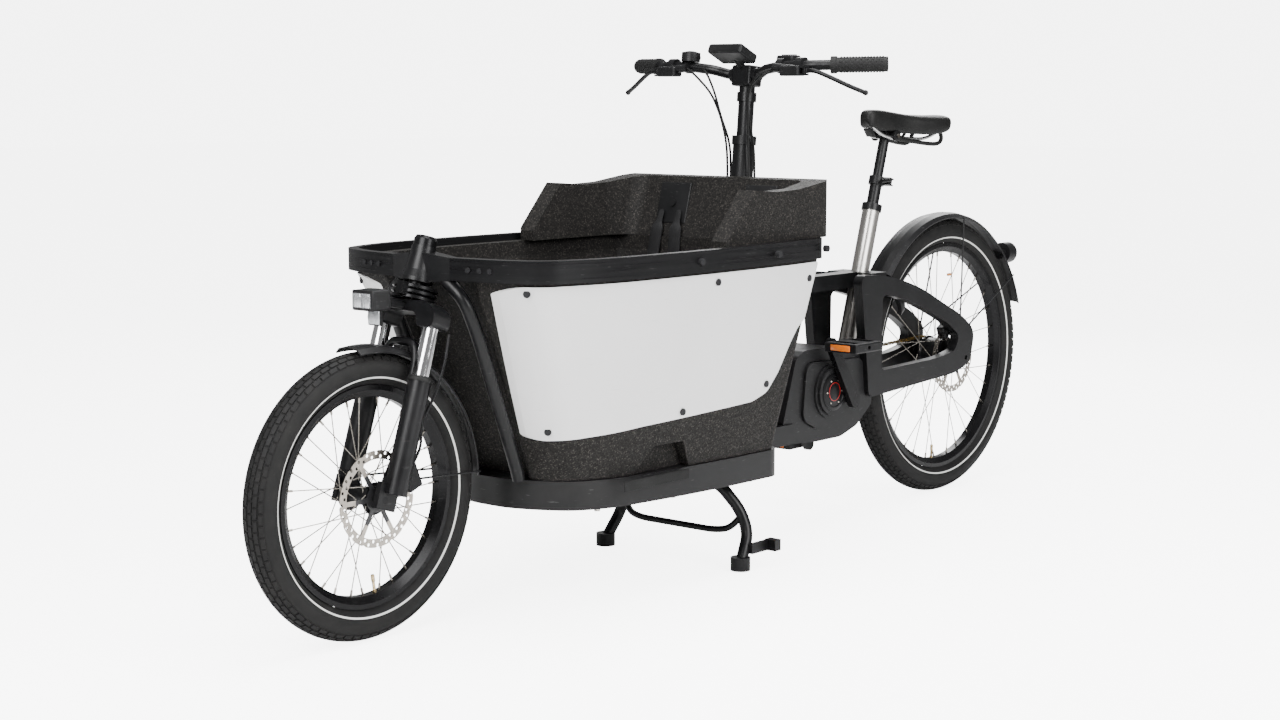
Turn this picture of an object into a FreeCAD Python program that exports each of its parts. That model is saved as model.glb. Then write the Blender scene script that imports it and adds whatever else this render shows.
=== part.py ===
import FreeCAD, Part
import math
import os
import re
import Sketcher
from FreeCAD import Placement, Rotation, Vector

# Front-loading cargo bicycle with a foam box between the wheels.
# X points forward, Y to the rider's left and Z up; the origin is on the ground, below the middle
# of the overall length.  All lengths are in millimetres and all angles in degrees.

doc = FreeCAD.newDocument("cargo_bicycle")
sheet = doc.addObject("Spreadsheet::Sheet", "Sizes")

SIZES = {
    # wheels
    "front_axle_x": 1016, "front_wheel_radius": 266, "front_bead_radius": 203,
    "rear_axle_x": -920, "rear_wheel_radius": 342, "rear_bead_radius": 279.5,
    "tyre_half_width": 31, "tyre_wall": 3.5, "rim_half_width": 18, "rim_lip": 4.4, "rim_depth": 18,
    "spoke_radius": 1.05, "nipple_radius": 2.2, "nipple_length": 12,
    "rotor_radius": 90, "rotor_thickness": 1.8, "rotor_hole_radius": 3.2, "running_gap": 0.06,
    "front_axle_radius": 7, "rear_axle_radius": 6,
    # front end
    "head_x": 860, "head_z": 690, "steering_tilt": 18, "steerer_radius": 15,
    "head_tube_radius": 23.5, "head_tube_flare": 30, "pulley_radius": 43,
    "leg_spacing": 65, "stanchion_radius": 16, "lower_radius": 22, "crown_depth": 44,
    # box
    "floor_bottom": 200, "floor_top": 257, "floor_wall": 32, "floor_plate": 6,
    "tub_bottom": 258, "tub_top": 656, "tub_rim": 684.5, "tub_wall": 32, "tub_floor": 42,
    "rail_bottom": 657, "rail_top": 699, "rail_wall": 20, "panel_thickness": 3,
    "back_top": 820, "back_bottom": 685.3,
    # rear frame
    "top_tube_z": 560, "top_tube_height": 36, "top_tube_width": 40,
    "beam_height": 46, "beam_width": 30, "beam_y": 58, "beam_z": 238,
    "loop_inner_y": 62.3, "loop_width": 24, "seat_tube_radius": 21, "extension_radius": 14.5,
    "seatpost_radius": 12.5, "crank_x": -414, "crank_z": 294, "spindle_radius": 10,
    "chainring_radius": 72, "sprocket_radius": 38, "chain_height": 8, "chain_width": 7,
    "pivot_pin_radius": 2.5, "chain_y": -46, "crank_y": 90, "crank_thickness": 14,
    # steering column and bars
    "column_x": -113, "column_z": 817, "column_tilt": -5, "column_radius": 24,
    "stem_radius": 17.5, "bar_radius": 11.1, "bar_centre_radius": 15.9, "grip_radius": 16,
    # mudguards
    "guard_half_width": 34, "guard_sheet": 2.5,
    # stand
    "stand_x": 118, "stand_z": 183, "stand_tube_radius": 12.5, "foot_x": 148, "foot_y": 192,
}
for row, (alias, size) in enumerate(SIZES.items(), 1):
    sheet.set(f"A{row}", alias)
    sheet.set(f"B{row}", str(size))
    sheet.setAlias(f"B{row}", alias)
doc.recompute()

sub_parts = []


# ---------------------------------------------------------------- small tools for the features
def formula(text):
    """Give every sheet alias in a formula the sheet's name."""
    return re.sub(r"[a-z][a-z0-9_]*", lambda word: "Sizes." + word.group(), str(text))


def number(text):
    """The present value of a formula."""
    return float(sheet.evalExpression(formula(text)))


def point(x, y, z):
    return Vector(number(x), number(y), number(z))


def bind(feature, **sizes):
    """Tie the named properties of a feature to formulas of the sheet."""
    for name, text in sizes.items():
        feature.setExpression(name, formula(text))


def finish(feature, node):
    """Name a finished sub-part and put it on the list of those to be written."""
    feature.Label = node
    sub_parts.append(feature)
    return feature


def turn_to(direction):
    return Rotation(Vector(0, 0, 1), Vector(direction))


def rod(name, radius, start, end):
    """A round bar from one point to another."""
    bar = doc.addObject("Part::Cylinder", name)
    bind(bar, Radius=radius)
    bar.Height = (end - start).Length
    bar.Placement = Placement(start, turn_to(end - start))
    return bar


def block(name, sizes, centre, rotation=Rotation()):
    """A box with its centre at a point."""
    cuboid = doc.addObject("Part::Box", name)
    bind(cuboid, Length=sizes[0], Width=sizes[1], Height=sizes[2])
    half = Vector(*[number(size) / 2 for size in sizes])
    cuboid.Placement = Placement(centre - rotation.multVec(half), rotation)
    return cuboid


def soften(name, feature, radius):
    """Round every edge of a primitive."""
    doc.recompute()
    rounded = doc.addObject("Part::Fillet", name)
    rounded.Base = feature
    rounded.Edges = [(index + 1, radius, radius) for index in range(len(feature.Shape.Edges))]
    return rounded


def fuse(name, pieces):
    whole = doc.addObject("Part::MultiFuse", name)
    whole.Shapes = pieces
    return whole


def group(name, pieces):
    """Several separate solids that make one sub-part."""
    together = doc.addObject("Part::Compound", name)
    together.Links = pieces
    return together


def cut(name, base, tool):
    result = doc.addObject("Part::Cut", name)
    result.Base = base
    result.Tool = tool
    return result


def common(name, base, tool):
    result = doc.addObject("Part::Common", name)
    result.Base = base
    result.Tool = tool
    return result


def mirrored(feature):
    """The same piece on the other side of the bicycle's middle plane."""
    twin = doc.addObject("Part::Mirroring", feature.Name + "_right")
    twin.Source = feature
    twin.Normal = Vector(0, 1, 0)
    return twin


def rounded_edges(points, radii, closed=True):
    """Lines joined by tangent arcs through a list of corner points; radius None means as large as fits."""
    count = len(points)
    corners = []
    for index, corner in enumerate(points):
        before = points[index - 1]
        after = points[(index + 1) % count]
        radius = radii[index] if isinstance(radii, list) else radii
        is_end = not closed and index in (0, count - 1)
        if is_end or radius == 0:
            corners.append((corner, corner, None))
            continue
        towards = (before - corner).normalize()
        away = (after - corner).normalize()
        half_turn = (math.pi - towards.getAngle(away)) / 2
        room = 0.45 * min((before - corner).Length, (after - corner).Length)
        reach = room if radius is None else min(room, radius * math.tan(half_turn))
        bisector = (towards + away).normalize()
        bend = reach / math.tan(half_turn)
        middle = corner + bisector * (bend / math.cos(half_turn) - bend)
        corners.append((corner + towards * reach, corner + away * reach, middle))
    edges = []
    for index, (start, end, middle) in enumerate(corners):
        if middle is not None:
            edges.append(Part.Arc(start, middle, end))
        if index + 1 < count or closed:
            edges.append(Part.LineSegment(end, corners[(index + 1) % count][0]))
    return edges


def rounded_wire(points, radii=None, closed=False):
    return Part.Wire([edge.toShape() for edge in rounded_edges(points, radii, closed)])


def tube(name, radius, points, radii=None, narrow=None):
    """A round or oval bar swept along straight runs joined by tangent arcs."""
    path = doc.addObject("Part::Feature", name + "_path")
    path.Shape = rounded_wire(points, radii)
    if narrow is None:
        ring = doc.addObject("Part::Circle", name + "_section")
        bind(ring, Radius=radius)
    else:
        ring = doc.addObject("Part::Ellipse", name + "_section")
        bind(ring, MajorRadius=radius, MinorRadius=narrow)
    ring.Placement = Placement(points[0], turn_to(points[1] - points[0]))
    sweep = doc.addObject("Part::Sweep", name)
    sweep.Sections = [ring]
    sweep.Spine = (path, [f"Edge{index + 1}" for index in range(len(path.Shape.Edges))])
    sweep.Solid = True
    sweep.Frenet = False
    return sweep


def new_body(name, origin=Vector(), rotation=Rotation()):
    body = doc.addObject("PartDesign::Body", name)
    body.Placement = Placement(origin, rotation)
    return body


def new_sketch(body, role, offset="0"):
    """An empty sketch on one of the body's own origin planes."""
    sketch = body.newObject("Sketcher::SketchObject", body.Name + "_sketch")
    plane = next(item for item in body.Origin.OriginFeatures if item.Role == role)
    sketch.AttachmentSupport = (plane, [""])
    sketch.MapMode = "FlatFace"
    sketch.setExpression("AttachmentOffset.Base.z", formula(offset))
    return sketch


def polygon(body, role, points, offset="0"):
    """A sketched polygon with every corner tied to formulas of the sheet."""
    sketch = new_sketch(body, role, offset)
    corners = [Vector(number(x), number(y), 0) for x, y in points]
    count = len(corners)
    for index, corner in enumerate(corners):
        sketch.addGeometry(Part.LineSegment(corner, corners[(index + 1) % count]), False)
    for index in range(count):
        sketch.addConstraint(Sketcher.Constraint("Coincident", index, 2, (index + 1) % count, 1))
    for index, (x, y) in enumerate(points):
        for kind, text, start in (("DistanceX", x, corners[index].x), ("DistanceY", y, corners[index].y)):
            place = sketch.addConstraint(Sketcher.Constraint(kind, -1, 1, index, 1, start))
            sketch.setExpression(f"Constraints[{place}]", formula(text))
    return sketch


def outline(body, role, points, radii, offset="0"):
    """A sketched outline with rounded corners; the last point joins the first."""
    sketch = new_sketch(body, role, offset)
    for edge in rounded_edges([Vector(x, y, 0) for x, y in points], radii):
        shape = edge.toShape()
        if isinstance(edge, Part.Arc) and shape.Curve.Axis.z < 0:
            start, middle, end = [shape.valueAt(place) for place in (
                shape.FirstParameter, (shape.FirstParameter + shape.LastParameter) / 2,
                shape.LastParameter)]
            edge = Part.Arc(end, middle, start)
        sketch.addGeometry(edge, False)
    return sketch


def circle(body, role, radius, centre=("0", "0"), offset="0"):
    """A sketched circle tied to formulas."""
    sketch = new_sketch(body, role, offset)
    add_circle(sketch, radius, centre)
    return sketch


def add_circle(sketch, radius, centre=("0", "0")):
    middle = Vector(number(centre[0]), number(centre[1]), 0)
    ring = sketch.addGeometry(Part.Circle(middle, Vector(0, 0, 1), number(radius)), False)
    for kind, text, start in (("DistanceX", centre[0], middle.x), ("DistanceY", centre[1], middle.y)):
        place = sketch.addConstraint(Sketcher.Constraint(kind, -1, 1, ring, 3, start))
        sketch.setExpression(f"Constraints[{place}]", formula(text))
    place = sketch.addConstraint(Sketcher.Constraint("Radius", ring, number(radius)))
    sketch.setExpression(f"Constraints[{place}]", formula(radius))


def pad(body, sketch, length, both_ways=False, backwards=False):
    feature = body.newObject("PartDesign::Pad", body.Name + "_pad")
    feature.Profile = sketch
    bind(feature, Length=length)
    feature.Midplane = both_ways
    feature.Reversed = backwards
    return feature


def pocket(body, sketch, length, both_ways=False, backwards=False):
    """A cut that must take material away."""
    doc.recompute()
    before = body.Shape.Volume
    feature = body.newObject("PartDesign::Pocket", body.Name + "_pocket")
    feature.Profile = sketch
    bind(feature, Length=length)
    feature.Midplane = both_ways
    feature.Reversed = backwards
    doc.recompute()
    if not body.Shape.Volume < before:
        raise ValueError(f"the pocket in {body.Name} cuts nothing")
    return feature


def turned(name, profile, origin=Vector(), direction=(0, 0, 1), angle="360"):
    """A body turned about its own Z axis from a profile of radius and height formulas."""
    body = new_body(name, origin, turn_to(direction))
    sketch = polygon(body, "XZ_Plane", profile)
    feature = body.newObject("PartDesign::Revolution", name + "_turn")
    feature.Profile = sketch
    feature.ReferenceAxis = (sketch, ["V_Axis"])
    bind(feature, Angle=angle)
    return body


def inset(points, distance):
    """The polygon with each side moved inwards; the points run anticlockwise."""
    count = len(points)
    moved = []
    for index in range(count):
        before = Vector(*points[index - 1], 0)
        corner = Vector(*points[index], 0)
        after = Vector(*points[(index + 1) % count], 0)
        first = (corner - before).normalize()
        second = (after - corner).normalize()
        first_normal = Vector(-first.y, first.x, 0)
        second_normal = Vector(-second.y, second.x, 0)
        middle = (first_normal + second_normal).normalize()
        step = distance / middle.dot(first_normal)
        moved.append((corner.x + middle.x * step, corner.y + middle.y * step))
    return moved


def both_sides(half):
    """A plan outline from its left half, given front to rear, anticlockwise."""
    return list(half) + [(x, -y) for x, y in reversed(half)]


def check_and_export():
    """Stop on any failed feature, then write every sub-part to its own file."""
    doc.recompute()
    for item in doc.Objects:
        failed = [state for state in item.State if state in ("Invalid", "Error")]
        if failed:
            raise ValueError(f"{item.Name} ({item.Label}) failed: {item.getStatusString()}")
    for item in sub_parts:
        if item.Shape.isNull() or not item.Shape.isValid() or not item.Shape.Solids:
            raise ValueError(f"{item.Label} has no sound shape")
    os.makedirs("parts", exist_ok=True)
    for item in sub_parts:
        item.Shape.exportStep(f"parts/{item.Label}.step")
    print(len(sub_parts), "sub-parts written")


# ---------------------------------------------------------------- steering axis and wheel centres
TILT = math.radians(number("steering_tilt"))
AXIS_UP = Vector(-math.sin(TILT), 0, math.cos(TILT))
AXIS_FORWARD = Vector(math.cos(TILT), 0, math.sin(TILT))
FRONT_AXLE = point("front_axle_x", 0, "front_wheel_radius")
REAR_AXLE = point("rear_axle_x", 0, "rear_wheel_radius")
LEFT = Vector(0, 1, 0)
ALONG_AXIS = Rotation(AXIS_FORWARD, LEFT, AXIS_UP, "ZYX")


def on_axis(height):
    """The point of the steering axis at a height above the ground."""
    along = (height - number("head_z")) / AXIS_UP.z
    return point("head_x", 0, "head_z") + AXIS_UP * along


# ---------------------------------------------------------------- head tube and box rail
def make_head_tube():
    """Steering head with a flared foot and a wing to each end of the box rail."""
    bore = "steerer_radius + running_gap"
    profile = [(bore, "0"), ("head_tube_flare", "0"), ("head_tube_flare", "7"),
               ("head_tube_radius + 2", "22"), ("head_tube_radius", "48"),
               ("head_tube_radius", "68"), (bore, "68")]
    pieces = [turned("head_barrel", profile, on_axis(650), AXIS_UP)]
    for side in (1, -1):
        wing = doc.addObject("Part::Wedge", "head_wing")
        reach = {"Xmin": "838", "Xmax": "874", "Zmin": "650", "Zmax": "706", "X2min": "841",
                 "X2max": "861", "Z2min": "rail_bottom", "Z2max": "rail_top"}
        bind(wing, **reach)
        wing.Ymin = 17
        wing.Ymax = 76
        if side < 0:
            wing = mirrored(wing)
        pieces.append(wing)
    finish(fuse("head_tube_weld", pieces), "head_tube")


RAIL_HALF = [(861, 76), (848, 188), (812, 270), (700, 309), (560, 321), (398, 323), (200, 315),
             (-18, 294), (-37, 250)]
FLOOR_HALF = [(688, 45), (668, 100), (628, 168), (552, 206), (400, 226), (250, 237), (75, 239), (46, 215)]
TUB_TOP_HALF = [(792, 92), (840, 122), (832, 188), (800, 256), (648, 297), (398, 304), (148, 300),
                (-16, 283), (-24, 240)]
TUB_FOOT_HALF = [(636, 66), (664, 88), (655, 122), (624, 166), (545, 203), (398, 222), (200, 233),
                 (78, 234), (58, 205)]
TUB_CORNERS = [30, 10, None, None, None, None, None, 22, 30]


def on_both(corners):
    return corners + corners[::-1]


def make_box_rail():
    """Extruded rim around the top of the box, open at the front between the two wings."""
    outer = both_sides(RAIL_HALF)
    radii = on_both([6, None, None, None, None, None, None, 50, 30])
    body = new_body("rail_loop")
    pad(body, outline(body, "XY_Plane", outer, radii, "rail_bottom"), "rail_top - rail_bottom")
    inner = inset(outer, number("rail_wall"))
    pocket(body, outline(body, "XY_Plane", inner, radii, "rail_top"), "rail_top - rail_bottom")
    gap = polygon(body, "XY_Plane", [("800", "-76"), ("900", "-76"), ("900", "76"), ("800", "76")],
                  "rail_top")
    pocket(body, gap, "rail_top - rail_bottom")
    finish(body, "box_rail")


def make_down_tubes():
    """A bent tube each side, from the head's wings down the corners of the box to the floor."""
    route = [Vector(851, 58, 654), Vector(846, 98, 622), Vector(822, 106, 560), Vector(765, 98, 430),
             Vector(706, 88, 300), Vector(690, 84, 262)]
    left = tube("down_tube", "13", route)
    finish(group("down_tube_pair", [left, mirrored(left)]), "down_tubes")


def make_floor_frame():
    """Band around the foot of the box with a closing plate near its top."""
    outer = both_sides(FLOOR_HALF)
    radii = on_both([None, None, None, None, None, None, None, 30])
    body = new_body("floor_band")
    pad(body, outline(body, "XY_Plane", outer, radii, "floor_bottom"), "floor_top - floor_bottom")
    inner = inset(outer, number("floor_wall"))
    pocket(body, outline(body, "XY_Plane", inner, radii, "floor_bottom"),
           "floor_top - floor_bottom - floor_plate", backwards=True)
    pivot = point("stand_x", 0, "stand_z")
    beam = block("stand_beam", ("60", "440", "46"), Vector(pivot.x, 0, 228))
    ears = [block("stand_ear", ("40", "8", "44"), Vector(pivot.x, 66 * side, 189)) for side in (1, -1)]
    bore = rod("stand_bore", "stand_tube_radius + running_gap", pivot - LEFT * 150, pivot + LEFT * 150)
    finish(cut("floor_bored", fuse("floor_weld", [body, beam] + ears), bore), "floor_frame")


def box_loft(name, distance, low, high):
    """Solid between the foot and rim outlines of the foam box, each moved inwards."""
    sections = []
    for label, half, level in (("foot", TUB_FOOT_HALF, low), ("rim", TUB_TOP_HALF, high)):
        plan = inset(both_sides(half), distance)
        wire = doc.addObject("Part::Feature", f"{name}_{label}")
        height = number(level)
        wire.Shape = rounded_wire([Vector(x, y, height) for x, y in plan], on_both(TUB_CORNERS), True)
        sections.append(wire)
    loft = doc.addObject("Part::Loft", name)
    loft.Sections = sections
    loft.Solid = True
    loft.Ruled = True
    return loft


def plan_prism(name, points, radii, low, high):
    """An upright prism on a rounded plan outline."""
    prism = new_body(name)
    pad(prism, outline(prism, "XY_Plane", points, radii, low), f"{high} - ({low})")
    return prism


def make_foam_tub():
    """Moulded foam box with a step hollow in each side and a bench along its back wall."""
    shell = box_loft("tub_outside", 0, "tub_bottom", "tub_top")
    space = box_loft("tub_inside", number("tub_wall"), "tub_bottom", "tub_top + 1")
    floor = block("tub_floor_slab", ("1000", "700", "tub_floor"),
                  Vector(400, 0, number("tub_bottom + tub_floor / 2")))
    top = both_sides(TUB_TOP_HALF)
    collar = plan_prism("tub_collar", inset(top, 4), on_both(TUB_CORNERS), "tub_top - 2", "tub_rim")
    throat = plan_prism("tub_throat", inset(top, number("tub_wall")), on_both(TUB_CORNERS),
                        "tub_top - 3", "tub_rim + 1")
    steps = []
    for side in (1, -1):
        step = new_body("step_hollow")
        corners = [("345", "tub_bottom - 1"), ("500", "tub_bottom - 1"), ("455", "312"), ("373", "312")]
        pad(step, polygon(step, "XZ_Plane", corners, "-204" if side > 0 else "204"), "60",
            backwards=side > 0)
        steps.append(step)
    hollows = fuse("tub_hollows", [cut("tub_room", space, floor), throat] + steps)
    walls = cut("tub_walls", fuse("tub_solid", [shell, collar]), hollows)
    bench = common("bench_outline", box_loft("bench_loft", number("tub_wall") - 1,
                                             "tub_bottom", "tub_top"),
                   block("bench_block", ("330", "600", "150"), Vector(118, 0, 412)))
    finish(fuse("tub_with_bench", [walls, bench]), "foam_tub")


def make_side_panels():
    """Thin smooth panels screwed over the foam, with their lower rear corners cut away."""
    skin = cut("panel_skin", box_loft("panel_outside", -0.3 - number("panel_thickness"),
                                      "tub_bottom", "tub_top"),
               box_loft("panel_inside", -0.3, "tub_bottom", "tub_top"))
    corners = [(834, 650), (-8, 650), (0, 572), (14, 534), (42, 515), (64, 484), (96, 425),
               (128, 386), (176, 371), (500, 357), (700, 342)]
    radii = [12, 8, 20, 14, 14, 30, 40, 40, 60, 400, 22]
    window = new_body("panel_window")
    pad(window, outline(window, "XZ_Plane", corners, radii, "-100"), "300", backwards=True)
    left = common("panel", skin, window)
    finish(group("panel_pair", [left, mirrored(left)]), "side_panels")


def side_y(x, z):
    """Half width of the foam box at a place along its side."""
    share = (z - number("tub_bottom")) / (number("tub_top") - number("tub_bottom"))
    rim = TUB_TOP_HALF[1:]
    foot = TUB_FOOT_HALF[1:]
    line = [(a[0] * share + b[0] * (1 - share), a[1] * share + b[1] * (1 - share))
            for a, b in zip(rim, foot)]
    for (front_x, front_y), (rear_x, rear_y) in zip(line, line[1:]):
        if rear_x <= x <= front_x:
            along = (front_x - x) / (front_x - rear_x)
            return front_y + (rear_y - front_y) * along
    return line[-2][1]


def make_box_fasteners():
    """Panel rivets, rail screws and the rubber buttons that hold the back rest."""
    pieces = []
    for x, z in ((806, 637), (350, 632), (24, 617), (688, 362), (395, 375), (136, 404)):
        y = side_y(x, z)
        ahead = Vector(10, side_y(x + 10, z) - y, 0)
        outward = Vector(-ahead.y, ahead.x, 0).normalize()
        start = Vector(x, y, z) + outward * (number("panel_thickness") + 0.1)
        pieces.append(rod("panel_rivet", "7", start, start + outward * 3))
    for x, y, slope in ((855, 120, 0.116), (850, 145, 0.116), (847, 168, 0.116)):
        start = Vector(x + 1.6, y, 678)
        pieces.append(rod("rail_screw", "5", start, start + Vector(3, 3 * slope, 0)))
    for x in (430, 178, -8):
        start = Vector(x, side_y(x, 656) + 17, 678)
        pieces.append(rod("rail_knob", "7", start, start + Vector(0, 9, 0)))
    for x, y in ((120, 205), (360, 195), (560, 170)):
        start = Vector(x, y, number("floor_bottom"))
        pieces.append(rod("floor_bolt", "6", start, start - Vector(0, 0, 9)))
    twins = [mirrored(piece) for piece in pieces]
    finish(group("fastener_set", pieces + twins), "box_fasteners")


def make_foam_backrest():
    """Leaning foam back rest with a wing down each side, standing in the rim of the box."""
    plan = [(300, 286), (100, 286), (-82, 280), (-82, -280), (100, -286), (300, -286)]
    solid = plan_prism("back_solid", plan, [8, None, 62, 62, None, 8], "back_bottom", "back_top")
    levels = []
    for height, rear in (("back_bottom - 1", 2), ("back_top + 1", -40)):
        inside = [(340, 244), (60, 244), (rear, 226), (rear, -226), (60, -244), (340, -244)]
        wire = doc.addObject("Part::Feature", "back_inside")
        wire.Shape = rounded_wire([Vector(x, y, number(height)) for x, y in inside],
                                  [0, 100, 34, 34, 100, 0], True)
        levels.append(wire)
    space = doc.addObject("Part::Loft", "back_space")
    space.Sections = levels
    space.Solid = True
    space.Ruled = True
    above = new_body("back_above")
    line = [("310", "back_bottom + 10"), ("212", "806"), ("140", "800"), ("60", "803"),
            ("-60", "back_top - 1"), ("-90", "back_top - 16"), ("-90", "900"), ("310", "900")]
    pad(above, polygon(above, "XZ_Plane", line), "700", both_ways=True)
    radii = on_both([6, None, None, None, None, None, None, 50, 30])
    within = plan_prism("back_foot", inset(both_sides(RAIL_HALF), number("rail_wall") + 0.5), radii,
                        "back_bottom - 1", "rail_top + 0.4")
    around = cut("back_ledge", block("back_ledge_block", ("900", "800", "30"),
                                     Vector(200, 0, number("rail_top + 0.4") - 15)), within)
    groove = rod("back_groove", "46", on_column(660), on_column(860))
    finish(cut("back_shell", solid, fuse("back_cuts", [space, above, around, groove])), "foam_backrest")


def make_harness():
    """Two plates screwed to the back rest, each with a pair of padded shoulder straps."""
    lean = Rotation(LEFT, -15)
    plates = []
    pads = []
    for side in (1, -1):
        y = 118 * side
        plate = soften("harness_plate_soft", block("harness_plate", ("7", "84", "92"),
                                                   Vector(-21, y, 758), lean), 2)
        plates.append(plate)
        centre = Vector(-17, y, 758)
        plates.append(rod("harness_screw", "8", centre + lean.multVec(Vector(1, 0, 0)),
                          centre + lean.multVec(Vector(3.5, 0, 0))))
        for offset in (-24, 24):
            strap = [Vector(-9, y + offset, 744), Vector(8, y + offset * 1.1, 700),
                     Vector(18, y + offset * 1.25, 640), Vector(26, y + offset * 1.3, 560),
                     Vector(34, y + offset * 1.3, 500)]
            pads.append(tube("shoulder_pad", "17", strap, narrow="6"))
    finish(group("harness_plate_set", plates), "harness_plates")
    finish(group("shoulder_pad_set", pads), "shoulder_pads")


# ---------------------------------------------------------------- rear frame
SEAT_TUBE_UP = (Vector(-618, 0, 718) - Vector(-521, 0, 399)).normalize()
COLUMN_TILT = math.radians(number("column_tilt"))
COLUMN_UP = Vector(math.sin(COLUMN_TILT), 0, math.cos(COLUMN_TILT))


def on_seat_tube(height):
    return Vector(-521, 0, 399) + SEAT_TUBE_UP * ((height - 399) / SEAT_TUBE_UP.z)


def on_column(height):
    return point("column_x", 0, "column_z") + COLUMN_UP * ((height - number("column_z")) / COLUMN_UP.z)


def make_rear_beams():
    """Two box beams from the floor band to the motor, with a cross plate behind the box."""
    pieces = []
    for side in (1, -1):
        y = number("beam_y") * side
        beam = block("rear_beam", ("260", "beam_width", "beam_height"),
                     Vector(-86, y, number("beam_z") - 3))
        pieces.append(beam)
    pieces.append(block("rear_cross_plate", ("6", "300", "54"), Vector(42, 0, 228)))
    finish(fuse("rear_beam_weld", pieces), "rear_beams")


def make_top_tube():
    """Box tube from behind the box to the seat tube, with the rear steering head on it."""
    z = number("top_tube_z")
    tube_body = block("top_tube_bar", ("516", "top_tube_width", "top_tube_height"), Vector(-286, 0, z))
    head = rod("column_head", "column_radius + 6", on_column(z - 18), on_column(668))
    plate = block("top_tube_plate", ("6", "150", "120"), Vector(-28, 0, z))
    posts = [rod("bulkhead_post", "14", Vector(-30, 58 * side, 505), Vector(34, 58 * side, 262))
             for side in (1, -1)]
    solid = fuse("top_tube_weld", [tube_body, head, plate] + posts)
    bore = rod("column_bore", "column_radius + running_gap", on_column(500), on_column(700))
    finish(cut("top_tube_bored", solid, bore), "top_tube")


def make_motor():
    """Carrier around the motor, the motor housing and its round side cover."""
    carrier = [(-182, 262), (-228, 404), (-262, 420), (-372, 420), (-505, 398), (-536, 352),
               (-530, 268), (-470, 224), (-405, 205), (-310, 205), (-182, 213)]
    radii = [12, 30, 30, 60, 30, 20, 20, 60, 80, 80, 4]
    body = new_body("carrier_ring")
    pad(body, outline(body, "XZ_Plane", carrier, radii, "-68"), "108")
    opening = [(-262, 392), (-476, 384), (-508, 344), (-498, 280), (-440, 236), (-300, 236), (-248, 262)]
    pocket(body, outline(body, "XZ_Plane", opening, [30, 30, 30, 40, 60, 40, 30], "80"), "200")
    finish(body, "motor_carrier")
    housing = new_body("housing_block")
    inner = inset(opening, 0.6)
    pad(housing, outline(housing, "XZ_Plane", inner, [30, 30, 30, 40, 60, 40, 30], "-74"), "113")
    dial = rod("motor_dial", "54", Vector(-352, 74, 318), Vector(-352, 86, 318))
    rim = rod("motor_dial_rim", "62", Vector(-352, 74, 318), Vector(-352, 79, 318))
    bore = rod("spindle_bore", "spindle_radius + running_gap", Vector(-414, -80, 294),
               Vector(-414, 110, 294))
    finish(cut("housing_bored", fuse("housing_whole", [housing, dial, rim]), bore), "motor_housing")


def make_seat_tube():
    """Brushed seat tube with its bolted top collar."""
    outer = rod("seat_tube_bar", "seat_tube_radius", on_seat_tube(404), on_seat_tube(718))
    bore = rod("seat_tube_bore", "extension_radius + 0.2", on_seat_tube(560), on_seat_tube(730))
    finish(cut("seat_tube_bored", outer, bore), "seat_tube")


def make_rear_triangle():
    """A closed loop of flat tube each side of the rear wheel, joined by two bridges."""
    outside = [(-455, 579), (-545, 574), (-632, 556), (-722, 528), (-812, 487), (-895, 452),
               (-958, 408), (-940, 330), (-874, 309), (-640, 296), (-492, 288), (-486, 350)]
    inside = [(-546, 530), (-632, 511), (-719, 483), (-828, 439), (-888, 400), (-868, 366),
              (-800, 354), (-545, 347)]
    outside_radii = [20, None, None, None, None, None, 38, 38, None, None, 20, 30]
    inside_radii = [16, None, None, None, 20, 20, None, 14]
    sides = []
    for side in (1, -1):
        loop = new_body("stay_loop")
        start = "-loop_inner_y" if side > 0 else "loop_inner_y"
        pad(loop, outline(loop, "XZ_Plane", outside, outside_radii, start), "loop_width",
            backwards=side > 0)
        hole_start = "-loop_inner_y + 5" if side > 0 else "loop_inner_y - 5"
        pocket(loop, outline(loop, "XZ_Plane", inside, inside_radii, hole_start),
               "loop_width + 30", backwards=side < 0)
        sides.append(loop)
    bridges = [block("upper_bridge", ("64", "126", "34"), Vector(-562, 0, 560)),
               block("lower_bridge", ("20", "126", "38"), Vector(-527, 0, 320))]
    weld = fuse("rear_triangle_weld", sides + bridges)
    seat_bore = rod("seat_tube_clearance", "seat_tube_radius + 0.3", on_seat_tube(290),
                    on_seat_tube(640))
    axle = rod("rear_axle_bore", "rear_axle_radius + running_gap", REAR_AXLE - LEFT * 120,
               REAR_AXLE + LEFT * 120)
    finish(cut("rear_triangle_bored", weld, fuse("rear_bores", [seat_bore, axle])), "rear_triangle")


def guard_profile(outer):
    """Section of a mudguard as radius and width formulas, for turning about the wheel's axle."""
    edge = "guard_half_width"
    sheet_in = "guard_sheet"
    return [(f"{outer} - 12", f"-{edge}"), (f"{outer} - 4", f"-{edge} + 9"), (outer, "-8"), (outer, "8"),
            (f"{outer} - 4", f"{edge} - 9"), (f"{outer} - 12", edge),
            (f"{outer} - 12 - {sheet_in}", f"{edge} - 1"),
            (f"{outer} - 4 - {sheet_in}", f"{edge} - 10"), (f"{outer} - {sheet_in}", "8"),
            (f"{outer} - {sheet_in}", "-8"), (f"{outer} - 4 - {sheet_in}", f"-{edge} + 10"),
            (f"{outer} - 12 - {sheet_in}", f"-{edge} + 1")]


def mudguard(name, axle, outer, first, last):
    """A mudguard sheet turned about an axle between two angles above the forward direction."""
    sheet_body = turned(name, guard_profile(outer), angle=str(last - first))
    upright = Rotation(Vector(1, 0, 0), Vector(0, 0, 1), LEFT * -1, "XYZ")
    sheet_body.Placement = Placement(axle, Rotation(LEFT * -1, first).multiply(upright))
    return sheet_body


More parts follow.
